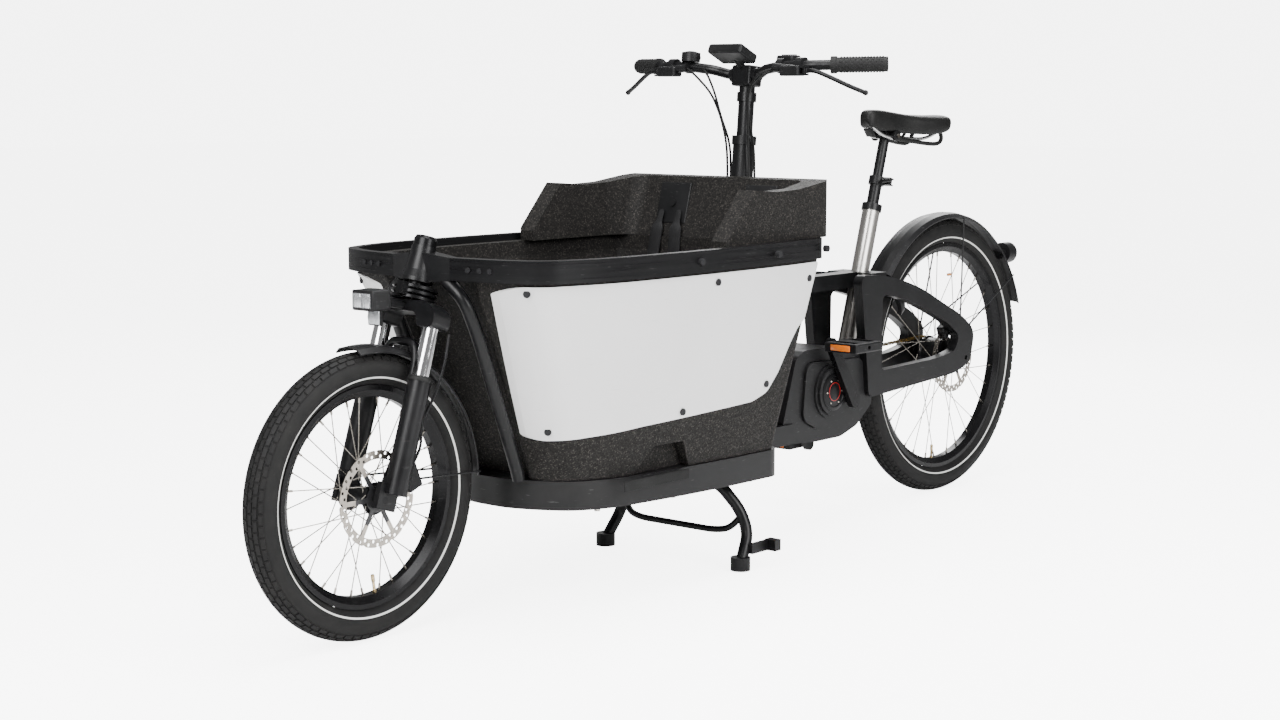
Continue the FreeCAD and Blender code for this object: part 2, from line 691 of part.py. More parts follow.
def make_rear_mudguard():
    """Rear mudguard with two wire stays a side."""
    centre = REAR_AXLE - Vector(10, 0, 1)
    pieces = [mudguard("rear_guard_sheet", centre, "361", 39, 162)]
    for angle in (98, 148):
        turn = math.radians(angle)
        tip = centre + Vector(math.cos(turn), 0, math.sin(turn)) * 350 + LEFT * 36
        stay = rod("rear_guard_stay", "2", Vector(-930, 60, 396), tip)
        pieces += [stay, mirrored(stay)]
    finish(group("rear_guard_set", pieces), "rear_mudguard")


def make_tail_light():
    """Round rear lamp on a short foot behind the mudguard."""
    lamp = rod("tail_lamp", "27", Vector(-1222, 0, 582), Vector(-1258, 0, 582))
    foot = block("tail_foot", ("36", "30", "22"), Vector(-1206, 0, 580))
    finish(fuse("tail_light_whole", [lamp, foot]), "tail_light")


# ---------------------------------------------------------------- ring lock
LOCK_OUT = Vector(0.6, 0, 0.8)
LOCK_CENTRE = Vector(-666, 0, 500)
LOCK_TURN = Rotation(LOCK_OUT, LEFT, LOCK_OUT.cross(LEFT), "XYZ")


def lock_arc(name, inner, outer, half_thickness, first, last):
    """Part of a ring in the plane of the lock."""
    profile = [(inner, f"-{half_thickness}"), (outer, f"-{half_thickness}"), (outer, half_thickness),
               (inner, half_thickness)]
    arc = turned(name, profile, angle=str(last - first))
    arc.Placement = Placement(LOCK_CENTRE, LOCK_TURN.multiply(Rotation(Vector(0, 0, 1), first)))
    return arc


def lock_round(name, radius, first, last):
    """A round bar bent about the centre of the lock."""
    bar = doc.addObject("Part::Torus", name)
    bar.Radius1 = 55.5
    bind(bar, Radius2=radius)
    bar.Angle3 = last - first
    bar.Placement = Placement(LOCK_CENTRE, LOCK_TURN.multiply(Rotation(Vector(0, 0, 1), first)))
    return bar


def lock_place(x, y, z):
    return LOCK_CENTRE + LOCK_TURN.multVec(Vector(x, y, z))


def make_ring_lock():
    """Horseshoe lock around the rear tyre, its sliding bar and its key."""
    ring = lock_arc("lock_ring", "50", "61", "9", -130, 130)
    mount = block("lock_mount", ("16", "60", "16"), lock_place(66, 0, 0), LOCK_TURN)
    tunnel = lock_round("lock_tunnel", "3.8", -140, 140)
    key_hole = rod("lock_key_hole", "3.1", lock_place(-14.4, -55.5, -12), lock_place(-14.4, -55.5, -4.2))
    finish(cut("lock_case", fuse("lock_solid", [ring, mount]), fuse("lock_holes", [tunnel, key_hole])),
           "ring_lock")
    finish(lock_round("lock_bar", "3.7", 30, 129), "lock_shackle")
    shank = rod("key_shank", "3", lock_place(-14.4, -55.5, -4.6), lock_place(-14.4, -55.5, -16))
    bow = block("key_bow", ("3", "16", "22"), lock_place(-14.4, -55.5, -27), LOCK_TURN)
    finish(fuse("key_whole", [shank, bow]), "lock_key")


# ---------------------------------------------------------------- wheels
def make_wheel(end, axle, radius, bead, hub_profile, flange_y, flange_radius, rotor_y):
    """Tyre, rim, crossed spokes, hub and drilled brake disc of one wheel."""
    centreline = f"{radius} - tyre_half_width"
    tyre = doc.addObject("Part::Torus", end + "_tyre_tube")
    bind(tyre, Radius1=centreline, Radius2="tyre_half_width")
    inside = doc.addObject("Part::Torus", end + "_tyre_air")
    bind(inside, Radius1=centreline, Radius2="tyre_half_width - tyre_wall")
    lip = f"{bead} + rim_lip"
    well = doc.addObject("Part::Cylinder", end + "_tyre_well")
    bind(well, Radius=lip + " + 0.4", Height="4 * tyre_half_width")
    well.Placement = Placement(axle - LEFT * 2 * number("tyre_half_width"), turn_to(LEFT))
    for ring in (tyre, inside):
        ring.Placement = Placement(axle, turn_to(LEFT))
    finish(cut(end + "_tyre_shell", tyre, fuse(end + "_tyre_hollow", [inside, well])), end + "_tyre")

    half = "rim_half_width"
    section = [(lip, f"-{half}"), (lip, f"-{half} + 2.4"), (f"{bead} - 1", f"-{half} + 3.4"),
               (f"{bead} - 5", "-8"), (f"{bead} - 5", "8"), (f"{bead} - 1", f"{half} - 3.4"),
               (lip, f"{half} - 2.4"), (lip, half), (f"{bead} - 5", half),
               (f"{bead} - rim_depth", "9"), (f"{bead} - rim_depth", "-9"), (f"{bead} - 5", f"-{half}")]
    finish(turned(end + "_rim_ring", section, axle, LEFT), end + "_rim")

    spokes = []
    inner_rim = number(f"{bead} - rim_depth")
    spoke_count = 32
    for index in range(spoke_count):
        side = 1 if index % 2 else -1
        lead = 1 if index % 4 < 2 else -1
        at_rim = math.radians(360 * index / spoke_count)
        at_hub = at_rim + lead * math.radians(56)
        layer = side * (flange_y + 2.4 * lead)
        foot = axle + Vector(math.cos(at_hub), 0, math.sin(at_hub)) * flange_radius + LEFT * layer
        way = Vector(math.cos(at_rim), 0, math.sin(at_rim))
        seat = axle + way * inner_rim + LEFT * side * (2.5 + 1.2 * lead)
        along = (seat - foot).normalize()
        neck = seat - along * number("nipple_length")
        spokes.append(rod(end + "_spoke", "spoke_radius", foot, neck))
        spokes.append(rod(end + "_nipple", "nipple_radius", neck, seat - along * 0.6))
    finish(group(end + "_spoke_set", spokes), end + "_spokes")
    finish(turned(end + "_hub_shell", hub_profile, axle, LEFT), end + "_hub")
    make_rotor(end, axle + LEFT * rotor_y)


def make_rotor(end, centre):
    """Brake disc: a scalloped, drilled ring on six arms."""
    disc = new_body(end + "_disc", centre)
    face = circle(disc, "XZ_Plane", "rotor_radius")
    add_circle(face, "rotor_radius - 16")
    pad(disc, face, "rotor_thickness", both_ways=True)
    for radius, reach, count, start in (("rotor_hole_radius", "rotor_radius - 5", 24, 0),
                                        ("rotor_hole_radius", "rotor_radius - 11.5", 24, 7.5),
                                        ("9", "rotor_radius + 7", 16, 0)):
        hole = circle(disc, "XZ_Plane", radius, (reach, "0"))
        hole.AttachmentOffset = Placement(Vector(), Rotation(Vector(0, 0, 1), start))
        first = pocket(disc, hole, "8", both_ways=True)
        pattern = disc.newObject("PartDesign::PolarPattern", end + "_disc_pattern")
        pattern.Originals = [first]
        pattern.Axis = (hole, ["N_Axis"])
        pattern.Angle = 360
        pattern.Occurrences = count
        disc.Tip = pattern
    arms = []
    for index in range(6):
        turn = math.radians(60 * index)
        middle = centre + Vector(math.cos(turn), 0, math.sin(turn)) * 49
        arms.append(block(end + "_disc_arm", ("54", "rotor_thickness", "9"), middle,
                          Rotation(LEFT, -60 * index)))
    boss = rod(end + "_disc_boss", "25", centre - LEFT * 0.9, centre + LEFT * 0.9)
    solid = fuse(end + "_disc_solid", [disc, boss] + arms)
    bore = rod(end + "_disc_bore", "12.2", centre - LEFT * 9, centre + LEFT * 9)
    finish(cut(end + "_disc_bored", solid, bore), end + "_rotor")


def make_wheels():
    front_axle = "front_axle_radius"
    front = [("0", "-62"), (front_axle, "-62"), (front_axle, "-49.4"), ("12", "-49.4"), ("12", "-37"),
             ("30", "-34.6"), ("30", "-31.4"), ("17", "-27"), ("16", "0"), ("17", "27"), ("30", "31.4"),
             ("30", "34.6"), ("22", "35.5"), ("22", "38"), ("12", "38"), ("12", "49.4"),
             (front_axle, "49.4"), (front_axle, "62"), ("0", "62")]
    make_wheel("front", FRONT_AXLE, "front_wheel_radius", "front_bead_radius", front, 33, 26, 39)
    rear_axle = "rear_axle_radius"
    rear = [("0", "-80"), (rear_axle, "-80"), (rear_axle, "-61.6"), ("14", "-61.6"), ("14", "-50"),
            ("sprocket_radius", "-48.5"), ("sprocket_radius", "-43.5"), ("24", "-42"), ("24", "-32"),
            ("47", "-27.6"), ("47", "-24.4"), ("43", "-20"), ("43", "20"), ("47", "24.4"),
            ("47", "27.6"), ("26", "33"), ("22", "45"), ("12", "45"), ("12", "61.6"),
            (rear_axle, "61.6"), (rear_axle, "80"), ("0", "80")]
    make_wheel("rear", REAR_AXLE, "rear_wheel_radius", "rear_bead_radius", rear, 26, 43, 46)


# ---------------------------------------------------------------- fork
CROWN_BASE = on_axis(570)


def in_fork(x, y, z):
    """A place given in the fork's own directions from the middle of the crown's underside."""
    return CROWN_BASE + ALONG_AXIS.multVec(Vector(x, y, z))


def make_fork():
    """Arched crown with the steerer, the polished stanchions, and the pulley and cap on the steerer."""
    arch = [(-88, 0), (-47, 0), (-37, 26), (37, 26), (47, 0), (88, 0), (88, 30), (60, 47), (-60, 47),
            (-88, 30)]
    body = new_body("crown_arch", CROWN_BASE, ALONG_AXIS)
    pad(body, outline(body, "YZ_Plane", arch, [10, 8, 14, 14, 8, 10, 20, 20, 20, 20]), "crown_depth",
        both_ways=True)
    steerer = rod("steerer", "steerer_radius", in_fork(0, 0, 30), in_fork(0, 0, 165))
    finish(fuse("crown_weld", [body, steerer]), "fork_crown")

    spacing = number("leg_spacing")
    tubes = [rod("stanchion", "stanchion_radius", in_fork(0, spacing * side, -170),
                 in_fork(0, spacing * side, 0)) for side in (1, -1)]
    finish(group("stanchion_pair", tubes), "stanchions")

    rim = "pulley_radius"
    groove = "pulley_radius - 6"
    grooves = [("steerer_radius", "50"), (rim, "50"), (rim, "55"), (groove, "57.5"), (rim, "60"),
               (rim, "65"), (groove, "67.5"), (rim, "70"), (rim, "75"), ("steerer_radius", "80")]
    pulley = turned("pulley_discs", grooves, CROWN_BASE, AXIS_UP)
    lug = block("pulley_lug", ("20", "14", "24"), in_fork(44, 14, 64), ALONG_AXIS)
    cap_shape = [("steerer_radius", "152.4"), ("22", "152.4"), ("22", "166"), ("19", "172"), ("0", "172"),
                 ("0", "165"), ("steerer_radius", "165")]
    cap = turned("steering_cap", cap_shape, CROWN_BASE, AXIS_UP)
    finish(group("pulley_set", [fuse("pulley_whole", [pulley, lug]), cap]), "steering_pulley")


def make_headlight():
    """Front lamp on a bracket from the crown, with a reflector hung below it."""
    lamp = soften("lamp_soft", block("lamp_case", ("46", "56", "38"), Vector(984, 0, 626)), 6)
    neck = rod("lamp_neck", "8", in_fork(20, 0, 36), Vector(966, 0, 622))
    hanger = block("reflector_hanger", ("5", "14", "20"), Vector(972, 0, 606))
    reflector = soften("reflector_soft", block("reflector_case", ("7", "34", "32"), Vector(977, 0, 594)), 2)
    finish(fuse("headlight_whole", [lamp, neck, hanger, reflector]), "headlight")


def make_fork_lowers():
    """Two sliding legs joined by a bridge over the tyre, with an ear for the axle on each."""
    spacing = number("leg_spacing")
    solids = []
    bores = []
    for side in (1, -1):
        leg = rod("fork_leg", "lower_radius", in_fork(0, spacing * side, -312),
                  in_fork(0, spacing * side, -99))
        ear = block("fork_ear", ("46", "12", "50"), in_fork(12, 56 * side, -318), ALONG_AXIS)
        shoulder = block("fork_shoulder", ("36", "22", "30"), in_fork(4, 60 * side, -297), ALONG_AXIS)
        solids += [leg, ear, shoulder]
        bores.append(rod("fork_bore", "stanchion_radius + running_gap", in_fork(0, spacing * side, -225),
                         in_fork(0, spacing * side, -90)))
    route = [in_fork(0, 46, -128), in_fork(0, 43, -102), in_fork(0, 42.5, -60), in_fork(2, 32, -29),
             in_fork(2, -32, -29), in_fork(0, -42.5, -60), in_fork(0, -43, -102), in_fork(0, -46, -128)]
    solids.append(tube("fork_bridge", "7.5", route))
    bores.append(rod("front_axle_bore", "front_axle_radius + running_gap", FRONT_AXLE - LEFT * 90,
                     FRONT_AXLE + LEFT * 90))
    finish(cut("lowers_bored", fuse("lowers_solid", solids), fuse("lowers_bores", bores)), "fork_lowers")


def make_front_mudguard():
    """Front mudguard held by the fork bridge and a wire stay each side."""
    pieces = [mudguard("front_guard_sheet", FRONT_AXLE, "280.5", 84, 179)]
    stay = rod("front_guard_stay", "2", in_fork(-18, 48, -285), FRONT_AXLE + Vector(-270, 36, 14))
    pieces += [stay, mirrored(stay)]
    pieces.append(block("front_guard_clip", ("16", "22", "9"), in_fork(4, 0, -42.5), ALONG_AXIS))
    finish(group("front_guard_set", pieces), "front_mudguard")


def caliper(name, axle, rotor_y, direction):
    """A brake caliper straddling the disc rim, in the given direction from the axle."""
    turn = math.radians(direction)
    outward = Vector(math.cos(turn), 0, math.sin(turn))
    centre = axle + outward * 84 + LEFT * rotor_y
    lie = Rotation(LEFT, -direction)
    case = soften(name + "_soft", block(name + "_case", ("34", "22", "52"), centre + LEFT * 4, lie), 4)
    slot = block(name + "_slot", ("30", "3.6", "60"), centre - outward * 8, lie)
    return case, slot, centre


def make_front_brake():
    """Front caliper on the left leg and its hose up to the crown."""
    case, slot, centre = caliper("front_caliper", FRONT_AXLE, 39, 158)
    tab = block("front_caliper_tab", ("34", "8", "20"), Vector(960, 51, 300))
    hose = tube("front_hose", "2.6", [centre + Vector(-4, 8, 20), Vector(922, 58, 352),
                                      Vector(928, 66, 400), Vector(916, 92, 452), Vector(894, 96, 510),
                                      Vector(880, 92, 560)])
    finish(group("front_brake_set", [cut("front_caliper_cut", fuse("front_caliper_whole", [case, tab]),
                                         slot), hose]), "front_brake")


def make_rear_brake():
    """Rear caliper inside the left frame loop."""
    case, slot, centre = caliper("rear_caliper", REAR_AXLE, 46, 62)
    posts = [rod("rear_caliper_post", "5", centre + Vector(x, 10, z), centre + Vector(x, 17.5, z))
             for x, z in ((-19, 11), (19, -9))]
    finish(cut("rear_caliper_cut", fuse("rear_caliper_whole", [case] + posts), slot), "rear_brake")


# ---------------------------------------------------------------- drive
def belt_edges(margin):
    """The outline around chainring and sprocket, a margin outside their teeth."""
    big = Vector(number("crank_x"), number("crank_z"), 0)
    small = Vector(number("rear_axle_x"), number("rear_wheel_radius"), 0)
    big_radius = number("chainring_radius") + margin
    small_radius = number("sprocket_radius") + margin
    between = small - big
    heading = math.atan2(between.y, between.x)
    lean = math.acos((big_radius - small_radius) / between.Length)

    def around(centre, radius, angle):
        return centre + Vector(math.cos(angle), math.sin(angle), 0) * radius

    return [Part.Arc(around(big, big_radius, heading + lean), around(big, big_radius, heading + math.pi),
                     around(big, big_radius, heading - lean)),
            Part.LineSegment(around(big, big_radius, heading - lean),
                             around(small, small_radius, heading - lean)),
            Part.Arc(around(small, small_radius, heading - lean), around(small, small_radius, heading),
                     around(small, small_radius, heading + lean)),
            Part.LineSegment(around(small, small_radius, heading + lean),
                             around(big, big_radius, heading + lean))]


def make_chain():
    """Closed chain around the chainring and the rear sprocket."""
    chain = new_body("chain_loop")
    path = new_sketch(chain, "XZ_Plane", "-chain_y")
    for margin in (0.8, 0.8 + number("chain_height")):
        for edge in belt_edges(margin):
            path.addGeometry(edge, False)
    pad(chain, path, "chain_width", both_ways=True)
    finish(chain, "chain")


def crank_arm(name, angle, inner_y):
    """One tapered crank arm, given by its direction from the spindle."""
    spindle = Vector(number("crank_x"), number("crank_z"), 0)
    turn = math.radians(angle)
    along = Vector(math.cos(turn), math.sin(turn), 0)
    across = Vector(-along.y, along.x, 0)
    corners = [spindle - along * 19 - across * 18, spindle + along * 179 - across * 13,
               spindle + along * 179 + across * 13, spindle - along * 19 + across * 18]
    arm = new_body(name)
    plan = outline(arm, "XZ_Plane", [(corner.x, corner.y) for corner in corners], [17, 12, 12, 17],
                   str(-inner_y))
    pad(arm, plan, "crank_thickness", backwards=inner_y > 0)
    return arm


CRANK_ANGLE = 56.6


def pedal_place(side):
    turn = math.radians(CRANK_ANGLE)
    return (point("crank_x", 0, "crank_z") + Vector(math.cos(turn), 0, math.sin(turn)) * 165 * side
            + LEFT * (number("crank_y") + number("crank_thickness")) * side)


def make_crankset():
    """Spindle, two arms with pedal axles, and the chainring."""
    spindle = point("crank_x", 0, "crank_z")
    outer = number("crank_y")
    ring = rod("chainring_disc", "chainring_radius", spindle + LEFT * -48, spindle + LEFT * -44)
    windows = []
    for index in range(5):
        turn = math.radians(72 * index + 20)
        middle = spindle + Vector(math.cos(turn), 0, math.sin(turn)) * 42
        windows.append(rod("chainring_window", "16", middle + LEFT * -60, middle + LEFT * -30))
    pieces = [rod("spindle", "spindle_radius", spindle - LEFT * (outer + 2), spindle + LEFT * (outer + 2)),
              cut("chainring_open", ring, fuse("chainring_windows", windows)),
              crank_arm("crank_arm_left", CRANK_ANGLE, outer),
              crank_arm("crank_arm_right", CRANK_ANGLE + 180, -outer)]
    for side in (1, -1):
        place = pedal_place(side)
        pieces.append(rod("pedal_axle", "5", place - LEFT * side * 2, place + LEFT * side * 92))
    finish(fuse("crankset_weld", pieces), "crankset")


def make_pedals():
    """Platform pedals with a window each side of the axle barrel."""
    for side, node in ((1, "pedal_left"), (-1, "pedal_right")):
        middle = pedal_place(side) + LEFT * side * 54
        platform = soften(node + "_soft", block(node + "_platform", ("102", "88", "22"), middle), 4)
        windows = [block(node + "_window", ("24", "60", "40"), middle + Vector(30 * way, 0, 0))
                   for way in (1, -1)]
        bore = rod(node + "_bore", "5 + running_gap", middle - LEFT * 90, middle + LEFT * 90)
        finish(cut(node + "_open", platform, fuse(node + "_cuts", windows + [bore])), node)


# ---------------------------------------------------------------- column and bars
def make_column():
    """Rear steering column with its cable pulley below the head and a collar at the top."""
    radius = "column_radius"
    post = rod("column_post", radius, on_column(506), on_column(905))
    collar = rod("column_collar", "column_radius + 3", on_column(886), on_column(905))
    race = rod("column_race", "column_radius + 6", on_column(669), on_column(678))
    groove = [("column_radius - 1", "0"), ("40", "0"), ("40", "5"), ("34", "7.5"), ("40", "10"),
              ("40", "14"), ("34", "16.5"), ("40", "19"), ("40", "24"), ("column_radius - 1", "24")]
    pulley = turned("column_pulley", groove, on_column(508), COLUMN_UP)
    bore = rod("column_bore_tool", "stem_radius + running_gap", on_column(730), on_column(920))
    solid = fuse("column_whole", [post, collar, race, pulley])
    finish(cut("column_bored", solid, bore), "steering_column")


BAR_HALF = [Vector(-124, 36, 1038), Vector(-101, 72, 1050), Vector(-88, 128, 1057), Vector(-92, 196, 1058),
            Vector(-167, 340, 1060)]


def other_side(place):
    return Vector(place.x, -place.y, place.z)


def make_bars():
    """Stem in the column and the swept handlebar clamped in it."""
    post = rod("stem_post", "stem_radius", on_column(795), on_column(1022))
    upright = Rotation(LEFT, number("column_tilt"))
    clamp = soften("stem_clamp_soft", block("stem_clamp", ("46", "52", "46"), Vector(-128, 0, 1036),
                                            upright), 5)
    ring = rod("stem_ring", "stem_radius + 4", on_column(980), on_column(1000))
    bore = rod("bar_clamp_bore", "bar_centre_radius", Vector(-124, -60, 1038), Vector(-124, 60, 1038))
    finish(cut("stem_bored", fuse("stem_solid", [post, clamp, ring]), bore), "handlebar_stem")
    route = [other_side(place) for place in reversed(BAR_HALF)] + BAR_HALF
    bent = tube("bar_tube", "bar_radius", route, 70)
    sleeve = rod("bar_sleeve", "bar_centre_radius", Vector(-124, -36, 1038), Vector(-124, 36, 1038))
    finish(fuse("handlebar_whole", [bent, sleeve]), "handlebar")


def grip(name, side, bore):
    """A grip with a collar, over the straight end of the bar."""
    corner, end = [place if side > 0 else other_side(place) for place in BAR_HALF[-2:]]
    along = (end - corner).normalize()
    inner = end - along * 116
    sleeve = rod(name + "_sleeve", "grip_radius", inner, end + along * 4)
    collar = rod(name + "_collar", "grip_radius + 2.5", inner, inner + along * 12)
    hole = rod(name + "_hole", bore, inner - along * 5, end + along * 0.2)
    return cut(name + "_bored", fuse(name + "_whole", [sleeve, collar]), hole)


def make_grips():
    finish(grip("left_grip", 1, "bar_radius"), "grip_left")
    finish(grip("right_grip", -1, "bar_radius + running_gap"), "grip_right")


LEVER_PIVOT = Vector(-66, 204, 1046)
UP = Vector(0, 0, 1)


def make_brake_levers():
    """Curved lever blades, each with a round eye that turns on the pin of its master cylinder."""
    tip = Vector(-109, 329, 1000)
    blade = tube("lever_blade", "4.8", [LEVER_PIVOT, Vector(-68, 228, 1046), Vector(-81, 262, 1031),
                                        Vector(-95, 296, 1014), tip])
    ball = doc.addObject("Part::Sphere", "lever_tip")
    ball.Radius = 6
    ball.Placement = Placement(tip, Rotation())
    eye = rod("lever_eye", "7.5", LEVER_PIVOT - UP * 5.5, LEVER_PIVOT + UP * 5.5)
    hole = rod("lever_hole", "pivot_pin_radius + running_gap", LEVER_PIVOT - UP * 20, LEVER_PIVOT + UP * 20)
    whole = cut("lever_drilled", fuse("lever_whole", [blade, ball, eye]), hole)
    finish(whole, "lever_left")
    finish(mirrored(whole), "lever_right")


def make_bar_controls():
    """Master cylinders, the remote pod with its seat for two keys, and the bell."""
    pieces = []
    for side in (1, -1):
        y = 176 * side
        pieces.append(rod("master_band", "17", Vector(-91, y - 9, 1058), Vector(-91, y + 9, 1058)))
        pieces.append(soften("master_soft", block("master_case", ("30", "50", "22"),
                                                  Vector(-66, 170 * side, 1046)), 4))
        pieces.append(rod("master_barrel", "9", Vector(-68, 120 * side, 1054), Vector(-64, 190 * side, 1048)))
        pivot = Vector(LEVER_PIVOT.x, LEVER_PIVOT.y * side, LEVER_PIVOT.z)
        pieces.append(rod("lever_pin", "pivot_pin_radius", pivot - UP * 9, pivot + UP * 9))
        for way in (1, -1):
            pieces.append(block("lever_lug", ("18", "20", "4"), pivot + Vector(0, -7 * side, 8 * way)))
    pieces.append(rod("remote_band", "16", Vector(-88, 118, 1057), Vector(-88, 134, 1057)))
    pieces.append(soften("remote_soft", block("remote_case", ("34", "44", "24"), Vector(-112, 126, 1068)), 5))
    pieces.append(rod("bell_band", "15", Vector(-88, -136, 1057), Vector(-88, -124, 1057)))
    pieces.append(rod("bell_dome", "21", Vector(-92, -130, 1068), Vector(-94, -130, 1088)))
    solid = fuse("bar_controls_solid", pieces)
    seats = [block("remote_seat", ("12.4", "14.4", "6"), Vector(-114, y, 1078.5)) for y in (117, 135)]
    bar_hole = tube("bar_hole", "bar_radius", [other_side(place) for place in reversed(BAR_HALF)] + BAR_HALF,
                    70)
    finish(cut("bar_controls_cut", solid, fuse("bar_controls_cuts", seats + [bar_hole])), "bar_controls")
    for y, node in ((117, "remote_key_minus"), (135, "remote_key_plus")):
        finish(block(node + "_block", ("12", "14", "5"), Vector(-114, y, 1079.4)), node)


def make_display():
    """Hooded display on a stalk in front of the stem."""
    tilt = Rotation(LEFT, -24)
    case = soften("display_soft", block("display_case", ("64", "92", "22"), Vector(-76, 0, 1084), tilt), 6)
    hood = block("display_hood", ("8", "84", "12"), Vector(-51, 0, 1095), tilt)
    stalk = rod("display_stalk", "8", Vector(-112, 0, 1056), Vector(-84, 0, 1076))
    finish(fuse("display_whole", [case, hood, stalk]), "display")


def make_control_cables():
    """Hoses and cables that curve from the controls down beside the steering column."""
    cables = []
    for y, side_x, top_x in ((120, -96, -68), (-120, -96, -68), (112, -112, -98), (-96, -112, -92)):
        way = 1 if y > 0 else -1
        close = 30 if side_x > -100 else 33
        route = [Vector(top_x, y, 1052), Vector(top_x + 16, y * 0.72, 1040), Vector(-66, y * 0.42, 1000),
                 Vector(-84, 38 * way, 950), Vector(side_x, close * way, 890),
                 Vector(side_x - 4, close * way, 820), Vector(side_x, close * way, 752),
                 Vector(side_x + 4, close * way, 700)]
        cables.append(tube("control_cable", "2.6", route))
    finish(group("control_cable_set", cables), "control_cables")


# ---------------------------------------------------------------- seat
def make_seat():
    """Extension tube with its clamp, sliding seat post, rails and saddle."""
    sleeve = rod("extension_tube", "extension_radius", on_seat_tube(600), on_seat_tube(792))
    collar = rod("seat_collar", "19", on_seat_tube(780), on_seat_tube(799))
    lower = rod("seat_tube_collar", "seat_tube_radius + 3", on_seat_tube(718.4), on_seat_tube(734))
    boss = block("seat_collar_boss", ("18", "26", "14"), on_seat_tube(789) + Vector(-22, 0, -2))
    pivot = on_seat_tube(789) + Vector(-26, 20, -2)
    lugs = [block("clamp_lug", ("16", "24", "3"), pivot + SEAT_TUBE_UP * 7.5 * way - LEFT * 6,
                  turn_to(SEAT_TUBE_UP)) for way in (1, -1)]
    pin = rod("clamp_pin", "pivot_pin_radius", pivot - SEAT_TUBE_UP * 9, pivot + SEAT_TUBE_UP * 9)
    bore = rod("extension_bore", "seatpost_radius + running_gap", on_seat_tube(560), on_seat_tube(820))
    finish(cut("extension_bored", fuse("extension_whole", [sleeve, collar, lower, boss, pin] + lugs), bore),
           "seat_extension")
    lever = tube("clamp_lever_blade", "4.5", [pivot, pivot + Vector(16, 12, 5), pivot + Vector(46, 8, 4)])
    eye = rod("clamp_lever_eye", "6", pivot - SEAT_TUBE_UP * 5.5, pivot + SEAT_TUBE_UP * 5.5)
    hole = rod("clamp_lever_hole", "pivot_pin_radius + running_gap", pivot - SEAT_TUBE_UP * 12,
               pivot + SEAT_TUBE_UP * 12)
    finish(cut("clamp_lever_drilled", fuse("clamp_lever_whole", [lever, eye]), hole), "seat_clamp_lever")
    post = rod("seat_post_tube", "seatpost_radius", on_seat_tube(650), on_seat_tube(896))
    head = block("seat_post_head", ("40", "30", "16"), Vector(-676, 0, 899))
    yoke = rod("seat_post_yoke", "9", Vector(-676, -30, 899), Vector(-676, 30, 899))
    rails = [fuse("seat_post_whole", [post, head, yoke])]
    for side in (1, -1):
        rails.append(tube("saddle_rail", "3.5", [
            Vector(-604, 8 * side, 921), Vector(-628, 20 * side, 912), Vector(-700, 22 * side, 911.2),
            Vector(-790, 30 * side, 908), Vector(-828, 44 * side, 916)]))
    finish(group("seat_post_set", rails), "seatpost")
    sections = []
    for x, half, low, high in ((-583, 12, 932, 944), (-600, 21, 922, 954), (-650, 27, 918, 953),
                               (-700, 40, 916, 948), (-750, 62, 914, 944), (-800, 82, 912, 945),
                               (-840, 86, 914, 945), (-858, 62, 920, 938)):
        wire = doc.addObject("Part::Feature", "saddle_section")
        wire.Shape = rounded_wire([Vector(x, half, high), Vector(x, -half, high), Vector(x, -half, low),
                                   Vector(x, half, low)], None, True)
        sections.append(wire)
    saddle = doc.addObject("Part::Loft", "saddle_loft")
    saddle.Sections = sections
    saddle.Solid = True
    saddle.Ruled = True
    finish(saddle, "saddle")


# ---------------------------------------------------------------- stand
def make_stand():
    """Two-legged folding stand: one bent tube with boots, a cross rod and a foot plate."""
    pivot = point("stand_x", 0, "stand_z")
    foot = point("foot_x", "foot_y", 0)
    half = [pivot + LEFT * 116, Vector(92, 160, 120), Vector(90, 180, 72), Vector(foot.x - 21, foot.y - 2, 16)]
    legs = tube("stand_tube", "stand_tube_radius", list(reversed(half)) + [other_side(place) for place in half])
    boot = rod("stand_boot", "21", Vector(foot.x - 19, foot.y - 2, 0), Vector(foot.x - 19, foot.y - 2, 28))
    step = fuse("stand_step", [block("stand_step_plate", ("62", "9", "22"), Vector(80, 203, 44)),
                               block("stand_step_toe", ("20", "28", "24"), Vector(48, 214, 45))])
    cross = tube("stand_cross", "7", [Vector(92, 164, 108), Vector(104, 140, 78), Vector(110, 100, 72),
                                      Vector(110, -100, 72), Vector(104, -140, 78), Vector(92, -164, 108)])
    finish(fuse("stand_weld", [legs, boot, mirrored(boot), cross, step]), "stand_legs")


make_head_tube()
make_box_rail()
make_down_tubes()
make_floor_frame()
make_foam_tub()
make_side_panels()
make_box_fasteners()
make_foam_backrest()
make_harness()
make_rear_beams()
make_top_tube()
make_motor()
make_seat_tube()
make_rear_triangle()
make_rear_mudguard()
make_tail_light()
make_ring_lock()
make_wheels()
make_fork()
make_headlight()
make_fork_lowers()
make_front_mudguard()
make_front_brake()
make_rear_brake()
make_chain()
make_crankset()
make_pedals()
make_column()
make_bars()
make_grips()
make_brake_levers()
make_bar_controls()
make_display()
make_control_cables()
make_seat()
make_stand()
check_and_export()
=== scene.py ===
import bpy, bmesh, math
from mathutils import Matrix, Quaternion, Vector


